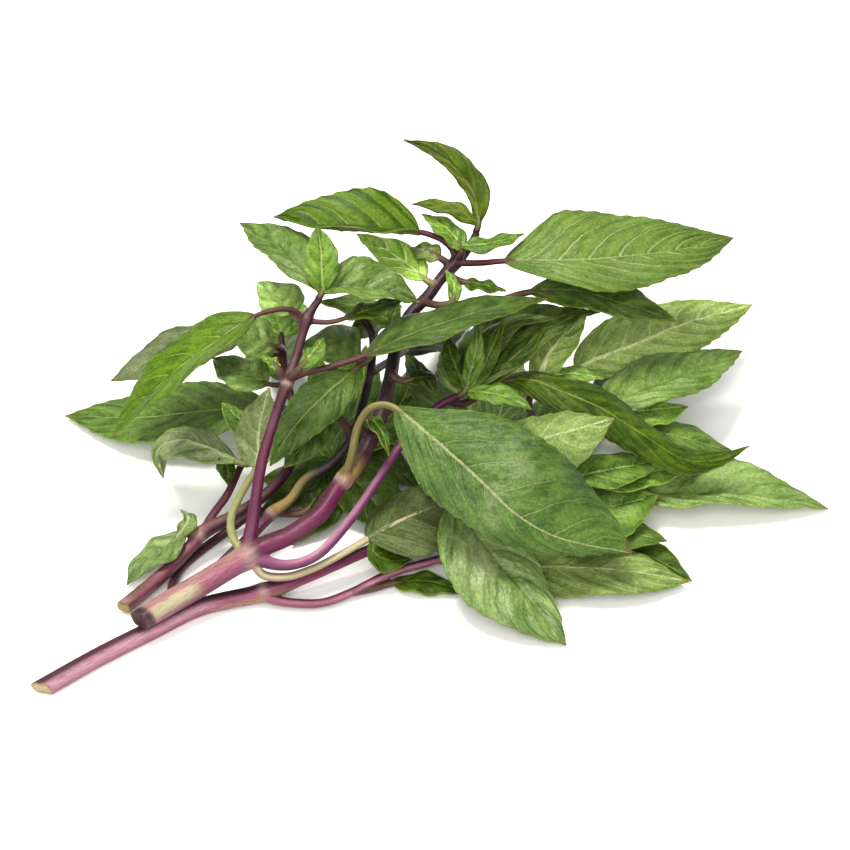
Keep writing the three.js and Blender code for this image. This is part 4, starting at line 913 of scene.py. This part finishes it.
class Graph:
    """Adds shader nodes to one material."""

    def __init__(self, name):
        self.material = bpy.data.materials.new(name)
        self.material.use_nodes = True
        self.tree = self.material.node_tree
        self.tree.nodes.clear()

    def add(self, kind, inputs, **settings):
        """Adds a node with its settings, and links or sets its inputs."""
        node = self.tree.nodes.new(kind)
        for key, value in settings.items():
            setattr(node, key, value)
        for key, value in inputs.items():
            if isinstance(value, Number):
                value = value.socket
            if isinstance(value, bpy.types.NodeSocket):
                self.tree.links.new(value, node.inputs[key])
            else:
                node.inputs[key].default_value = value
        return node

    def maths(self, kind, *values):
        node = self.add("ShaderNodeMath", dict(enumerate(values)), operation=kind)
        return Number(self, node.outputs[0])

    def ramp(self, value, low, high, start=0, end=1):
        """A soft step from start to end, as the value goes from low to high."""
        limits = {"From Min": low, "From Max": high, "To Min": start, "To Max": end}
        node = self.add("ShaderNodeMapRange", {"Value": value, **limits},
                        interpolation_type="SMOOTHSTEP")
        return Number(self, node.outputs["Result"])

    def blend(self, share, one, two):
        """A mix of two colours, given as colours seen or as sockets."""
        one, two = [(*linear(*c), 1) if isinstance(c, tuple) else c for c in (one, two)]
        return self.add("ShaderNodeMix", {0: share, 6: one, 7: two}, data_type="RGBA").outputs[2]

    def attribute(self, name):
        return self.add("ShaderNodeAttribute", {}, attribute_name=name).outputs["Vector"]

    def parts(self, vector):
        return [Number(self, part) for part in
                self.add("ShaderNodeSeparateXYZ", {0: vector}).outputs]

    def joined(self, *values):
        return self.add("ShaderNodeCombineXYZ", dict(enumerate(values))).outputs[0]

    def noise(self, where, scale, detail=3, roughness=0.55):
        node = self.add("ShaderNodeTexNoise", {"Vector": where, "Scale": scale, "Detail": detail,
                                               "Roughness": roughness})
        return Number(self, node.outputs[0])

    def place(self):
        return self.add("ShaderNodeTexCoord", {}).outputs["Object"]

    def skin(self, colour, roughness, gloss, height, strength, depth):
        """A surface with a relief of some depth in millimetres. Gives it and its normals."""
        bump = self.add("ShaderNodeBump", {"Strength": strength, "Distance": depth * MM,
                                           "Height": height})
        skin = self.add("ShaderNodeBsdfPrincipled", {
            "Base Color": colour, "Roughness": roughness, "Specular IOR Level": gloss,
            "Normal": bump.outputs[0]})
        return skin.outputs[0], bump.outputs[0]

    def finished(self, shader):
        self.add("ShaderNodeOutputMaterial", {0: shader})
        return self.material


def leaf_finish(name, light, dark, vein, rib, veins=0.4, groove=0.25, painted_sheen=0.2, mottle=0.8,
                margin=(150, 172, 66), rough=0.42, gloss=0.3, vein_width=0.2, rib_width=0.36,
                painted_fold_shade=0.15):
    """One kind of leaf face, from the light and dark colour of its blotches and the colours of
    its veins, rib and margin. veins, groove, bloom, mottle and swell say how strongly the
    veins, the painted shade in the grooves beside them, the painted sheen in pale clouds, the
    blotches and the painted shade on one side of each vein are seen."""
    g = Graph(name)
    where = g.place()
    count, away, gap = g.parts(g.attribute("veins"))
    _, side, along = g.parts(g.attribute("spots"))
    own, flush, level = g.parts(g.attribute("shade"))
    from_rib = abs(side)

    # Patches, fine grain, and folds that run beside the side veins.
    patch = g.noise(where, PATCHES)
    fine = g.noise(where, FINE_SPOTS, 4, 0.65)
    wander = g.noise(where, WANDERINGS, 2)
    turned = g.maths("SIGN", side) * 20
    beside = g.joined(count * gap * 0.5, from_rib * 0.3, own * 90 + turned)
    fold = g.noise(beside, 1, 3, 0.5)

    # The side veins, at whole numbers of the count.
    bent = count + (wander - 0.5) * 0.3
    distance = abs(bent - g.maths("ROUND", bent)) * gap
    line = g.ramp(distance / g.ramp(away, 0, 1, vein_width, vein_width / 2), 0.5, 1.7, 1, 0)
    line = line * g.ramp(away, 0.7, 0.95, 1, 0) * g.ramp(count, 0.45, 0.55)
    soft_line = g.ramp(distance, 0.1, 1.3, 1, 0) * g.ramp(away, 0.7, 1, 1, 0.2)
    rib_line = g.ramp(from_rib / g.ramp(along, 0, 1, rib_width, 0.1), 0.6, 1.3, 1, 0)
    soft_rib = g.ramp(from_rib, 0.3, 1.8, 1, 0)

    # Colour, which goes from light to dark with the share.
    # The blotches are partly the leaf's own mottling and partly painted shade that follows the relief of
    # the folds.
    share = g.ramp(patch * 0.4 + fold * 0.35 + fine * 0.25, 0.39, 0.61) * mottle
    # Painted shade: groove darkens the blade beside the side veins and along the rib, and lightens it
    # where groove is below naught. swell paints one side of each vein darker than the other, like folds
    # lit from one side. The blade also grows darker towards its edge.
    share = share + soft_line * groove + g.maths("SINE", bent * (2 * math.pi)) * painted_fold_shade
    share = share + soft_rib * (groove * 0.8) + g.ramp(away, 0.6, 1, 0, 0.2)
    share = g.maths("MINIMUM", g.maths("MAXIMUM", share, 0), 1)
    # Painted sheen: pale clouds of whitish green over the middle of the blade, as strong as bloom says.
    sheen_cloud = g.ramp(g.noise(where, SHEEN_CLOUDS, 5, 0.62), 0.5, 0.68, 0, painted_sheen)
    to_edge = from_rib / away - from_rib
    colour = g.blend(share, light, dark)
    colour = g.blend(sheen_cloud * g.ramp(away, 0.55, 0.95, 1, 0.1), colour, SHEEN_GREEN)
    colour = g.blend(line * veins, colour, vein)
    colour = g.blend(rib_line * 0.85, colour, rib)
    colour = g.blend(rib_line * flush, colour, RIB_RED)
    colour = g.blend(g.ramp(to_edge, 0.1, 0.5, 0.6, 0), colour, margin)
    colour = g.blend(g.ramp(along, 0.95, 1, 0, 0.6), colour, DRY_TIP)
    colour = g.blend(g.ramp(g.noise(where, SPECKS, 1), 0.72, 0.77, 0, 0.4), colour, SPECK)
    grain = g.ramp(g.noise(where, GRAINS, 2, 0.6), 0.3, 0.7, 1 - GRAIN, 1 + GRAIN)
    # level makes the whole leaf lighter or darker, which is its own lightness together with painted light
    # and shade, and the fine grain varies it.
    lit = g.add("ShaderNodeVectorMath", {0: colour, "Scale": level * grain}, operation="SCALE")
    colour = lit.outputs[0]

    height = fold * 1.8 + fine * 0.6 - line * 0.35
    roughness = g.ramp(fine, 0.3, 0.7, rough - 0.06, rough + 0.08)
    skin, normals = g.skin(colour, roughness, gloss, height, strength=0.9, depth=0.4)
    glow = g.add("ShaderNodeBsdfTranslucent", {
        "Color": g.blend(0.5, colour, GLOW), "Normal": normals})
    mix = g.add("ShaderNodeMixShader", {0: THROUGH, 1: skin, 2: glow.outputs[0]})
    return g.finished(mix.outputs[0])


def stem_finish():
    """Stems and stalks: streaked along their length and rather glossy."""
    g = Graph("stem_skin")
    tone = g.attribute("tone")
    streak = g.noise(g.attribute("grain"), 9, 4, 0.6)
    fine = g.noise(g.place(), 900, 3, 0.6)
    patch = g.noise(g.place(), 120)
    dark_tone = g.ramp(g.parts(tone)[1], 0.1, 0.45, 1, 0.3)
    colour = g.blend(dark_tone * g.ramp(streak, 0.42, 0.66, 0, 0.5), tone, DARK_STREAK)
    colour = g.blend(g.ramp(patch, 0.5, 0.72, 0, 0.1), colour, PINK_PATCH)
    colour = g.blend(g.ramp(fine, 0.64, 0.72, 0, 0.1), colour, PALE_HAIR)
    roughness = g.ramp(fine, 0.3, 0.7, 0.42, 0.56)
    height = streak + fine * 0.5
    skin, _ = g.skin(colour, roughness, 0.3, height, strength=0.4, depth=0.15)
    return g.finished(skin)


# How many blotches of each kind fit in a metre, as scales of noise.
SHEEN_CLOUDS = 65
PATCHES = 90
WANDERINGS = 160
FINE_SPOTS = 620
SPECKS = 1100
GRAINS = 1500
# How much lighter and darker the finest grain makes a leaf.
GRAIN = 0.22
# The share of the light that comes through a leaf.
THROUGH = 0.18
# Colours are given as they are seen, from 0 to 255.
GLOW = (176, 206, 60)
# The whitish green of the painted sheen.
SHEEN_GREEN = (176, 196, 134)
DRY_TIP = (180, 144, 70)
SPECK = (92, 84, 44)
RIB_RED = (128, 66, 68)
DARK_STREAK = (58, 18, 36)
PINK_PATCH = (206, 140, 156)
PALE_HAIR = (235, 205, 210)
# Each kind of leaf face. shade is painted shade for leaves deep in the bunch, and deep is a
# darker green that is partly the leaf's own and partly painted shade.
LEAF_LOOKS = {
    "fresh": dict(light=(134, 174, 32), dark=(80, 120, 8), vein=(176, 206, 84),
                  rib=(190, 216, 104), veins=0.7, painted_sheen=0.06, gloss=0.2, vein_width=0.24),
    "striped": dict(light=(130, 170, 32), dark=(64, 104, 6), vein=(170, 200, 84),
                    rib=(150, 172, 80), veins=0.8, painted_sheen=0.04, mottle=0.5, gloss=0.2,
                    vein_width=0.34, painted_fold_shade=0.6),
    "plain": dict(light=(122, 156, 62), dark=(62, 94, 22), vein=(150, 178, 90),
                  rib=(164, 188, 104), veins=0.45, gloss=0.25),
    "sheen": dict(light=(122, 164, 66), dark=(64, 102, 24), vein=(180, 202, 120),
                  rib=(218, 226, 160), veins=0.5, groove=0.15, painted_sheen=0.55, rib_width=0.42),
    "satin": dict(light=(108, 144, 44), dark=(54, 88, 12), vein=(144, 172, 80),
                  rib=(164, 186, 100), groove=0.15, gloss=0.25),
    "deep": dict(light=(90, 122, 24), dark=(44, 72, 6), vein=(112, 140, 46),
                 rib=(132, 156, 62), veins=0.35, painted_sheen=0.05, gloss=0.15),
    "olive": dict(light=(102, 134, 20), dark=(44, 72, 2), vein=(128, 152, 44),
                  rib=(142, 164, 60), veins=0.35, painted_sheen=0.06, gloss=0.15),
    "soft": dict(light=(156, 190, 92), dark=(92, 130, 38), vein=(150, 182, 84),
                 rib=(150, 180, 84), veins=0.3, painted_sheen=0.35, gloss=0.35),
    "quilted": dict(light=(162, 192, 106), dark=(98, 134, 48), vein=(138, 168, 74),
                    rib=(140, 168, 76), veins=0.3, groove=0.35, painted_sheen=0.8, gloss=0.45,
                    painted_fold_shade=0.1),
    "veined": dict(light=(150, 184, 78), dark=(92, 130, 36), vein=(200, 218, 138),
                   rib=(196, 216, 140), veins=0.85, groove=0.2, mottle=0.6, vein_width=0.36,
                   painted_fold_shade=0.3),
    "young": dict(light=(160, 204, 72), dark=(90, 134, 28), vein=(188, 218, 98),
                  rib=(198, 224, 116), veins=0.5, groove=0.4, painted_sheen=0.06),
    "tinged": dict(light=(130, 156, 38), dark=(72, 102, 14), vein=(152, 168, 66),
                   rib=(150, 142, 72), margin=(110, 68, 52), painted_sheen=0.1, gloss=0.2),
    "shade": dict(light=(86, 110, 30), dark=(46, 70, 12), vein=(104, 126, 46),
                  rib=(112, 132, 52), veins=0.3, painted_sheen=0.04, gloss=0.12),
    "under": dict(light=(158, 184, 100), dark=(102, 130, 50), vein=(190, 210, 132),
                  rib=(222, 230, 172), veins=0.65, groove=-0.15, rough=0.5, gloss=0.25,
                  vein_width=0.26, rib_width=0.6),
    "grey_back": dict(light=(154, 172, 118), dark=(106, 126, 74), vein=(178, 194, 140),
                      rib=(196, 208, 150), veins=0.45, groove=-0.1, rough=0.55, gloss=0.25),
}
FINISHES = {name: leaf_finish("leaf_" + name, **look) for name, look in LEAF_LOOKS.items()}
FINISHES["stem"] = stem_finish()

# ink and gloom are near-black tones for painted shade.
TONES = {name: Vector(linear(*rgb)) for name, rgb in {
    "ink": (22, 10, 14), "gloom": (40, 16, 22), "night": (50, 14, 32), "plum": (88, 24, 54),
    "purple": (116, 20, 76), "magenta": (142, 34, 98), "orchid": (200, 108, 146),
    "violet": (166, 76, 140), "pink": (252, 188, 212), "rose": (206, 116, 146),
    "tan": (208, 150, 148), "cream": (242, 230, 182), "maroon": (76, 22, 38),
    "brown": (128, 74, 62), "dusty": (158, 82, 104), "olive": (140, 134, 64),
    "pale": (188, 192, 118), "wine": (98, 42, 48), "leafy": (140, 168, 74),
    "joint": (222, 184, 170), "pith": (238, 218, 168), "straw": (210, 176, 96),
}.items()}
# Each stem's colours: after so many points, the colours of its upper, front and lower side.
# They are partly the stem's own colours and partly painted light: a pink or orchid side stands
# for a painted highlight, and the darkest rows, with ink and gloom, are painted shade on stems
# deep in the bunch and on lower sides.
STEM_TONES = {
    "stem_front": [
        [(0, "plum pink rose"), (3, "plum pink rose"), (3.4, "night orchid tan"),
         (5, "plum orchid straw"), (6, "night magenta rose"), (9, "plum magenta plum"),
         (13, "plum plum brown")],
        [(0, "plum rose rose"), (2, "plum rose brown"), (4, "magenta pink rose"),
         (7, "plum rose rose"), (9, "plum plum brown")],
    ],
    "stem_thick": [
        [(0, "night night night"), (0.35, "night plum night"), (0.5, "tan cream rose"),
         (1.7, "tan cream magenta"), (2.1, "tan rose magenta"), (3.6, "tan rose violet"),
         (4.5, "plum magenta magenta"), (8.4, "plum magenta plum"), (9.4, "olive straw brown"),
         (10, "night plum night"), (12, "ink night ink"), (16, "gloom night gloom")],
        [(0, "purple purple plum"), (3, "plum purple plum"), (5, "night plum night"),
         (6, "plum wine plum"), (10, "night plum plum")],
        [(0, "violet violet plum"), (3, "pink violet plum"), (6, "plum violet plum"),
         (9, "plum plum plum")],
    ],
    "stem_left": [
        [(0, "tan brown brown"), (0.3, "brown dusty brown"), (2.2, "dusty dusty plum"),
         (3.4, "brown plum plum"), (6, "night plum plum")],
        [(0, "plum dusty brown"), (4, "brown plum plum")],
    ],
    "stem_thin": [[(0, "maroon maroon maroon"), (6, "maroon wine maroon")]],
    "stem_back": [[(0, "maroon plum gloom"), (3.7, "plum magenta maroon"),
                   (4.3, "straw straw maroon"), (5.6, "straw olive brown"),
                   (6.6, "ink gloom ink"), (12, "ink ink ink")]],
}
# The same for the stalks of leaves, where they start and where they end.
STALK_TONES = {
    "plum": ("plum plum plum", "brown olive brown"),
    "olive": ("olive olive brown", "pale olive olive"),
    "cream": ("tan cream tan", "cream cream pale"),
    "pale": ("pale pale olive", "pale pale leafy"),
    "wine": ("wine wine maroon", "wine brown wine"),
}
# How much of the stalk's red goes on into the rib of the blade.
FLUSH = {"plum": 0.25, "wine": 0.4, "olive": 0.05}
# The pale joints where stems branch: the place, and how far the pale skin reaches.
JOINTS = [(place(*spot), size) for spot, size in (
    ((249, 556, 14), 2), ((342, 482, 23.6), 1.1), ((287, 384, 42), 0.8),
    ((264, 592, 3.4), 1.2), ((199, 536, 7.8), 1.1), ((271, 514, 10.4), 0.8),
)]
JOINT_SHARE = 0.7
# Each cut: how far it slopes back on the lower side and on the near side, and its middle.
CUTS = {
    "stem_front": (0.75, 0.6, "pith"),
    "stem_thick": (0.3, 0.3, "maroon"),
    "stem_left": (0.35, 0.35, "straw"),
}


def dress(piece, node):
    """Lets a piece stand for a node of the frame."""
    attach(piece, "root")
    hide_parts(node)


for node in STEMS:
    dress(stem_piece("skin_" + node, node), node)

for seed, (node, row) in enumerate(LEAVES.items()):
    slot = "young_leaf" if row["young"] else "leaf"
    dress(leaf_blade("fine_" + node, row, seed), node)
    if row["second"]:
        dress(leaf_blade("second_" + node, row["second"], seed + 1), node)

for node, shoot in SHOOTS.items():
    slot = "leaf" if "mature" in shoot else "young_leaf"
    for seed, row in enumerate(shoot["leaves"]):
        dress(leaf_blade(f"fine_{node}_{seed}", row, seed), node)
    dress(shoot_axis("axis_" + node, shoot), node)

# The surface below, the light and the camera.
white = Graph("white_surface")
paint = white.add("ShaderNodeBsdfPrincipled", {"Base Color": (0.9, 0.9, 0.9, 1), "Roughness": 0.8})
FINISHES["white"] = white.finished(paint.outputs[0])
ground = bmesh.new()
bmesh.ops.create_grid(ground, x_segments=1, y_segments=1, size=3)
new_piece("floor", ground, "white")

scene = bpy.context.scene
scene.view_settings.view_transform = "Standard"
scene.view_settings.look = "None"
world = bpy.data.worlds.new("soft_room")
world.use_nodes = True
scene.world = world
sky = world.node_tree.nodes["Background"].inputs
sky["Color"].default_value = (1, 1, 1, 1)
sky["Strength"].default_value = 0.65


def soft_light(name, spot, size, watts, colour):
    """A round lamp that shines on the middle of the surface. Its places are in metres."""
    lamp = bpy.data.lights.new(name, "AREA")
    lamp.shape = "DISK"
    lamp.size = size
    lamp.energy = watts
    lamp.color = colour
    light = bpy.data.objects.new(name, lamp)
    light.location = spot
    light.rotation_euler = (-Vector(spot)).to_track_quat("-Z", "Y").to_euler()
    scene.collection.objects.link(light)


soft_light("overhead_light", (-0.2, 0.1, 1), size=0.4, watts=15, colour=(1, 0.98, 0.88))
soft_light("front_light", (-0.1, -0.8, 0.8), size=0.9, watts=11, colour=(1, 0.98, 0.9))

lens = bpy.data.cameras.new("camera")
lens.sensor_width = 36
lens.lens = 85
camera = bpy.data.objects.new("camera", lens)
camera.location = (EYE + TO_CENTRE) * MM
camera.rotation_euler = (math.pi / 2 - ELEVATION, 0, 0)
scene.collection.objects.link(camera)
scene.camera = camera
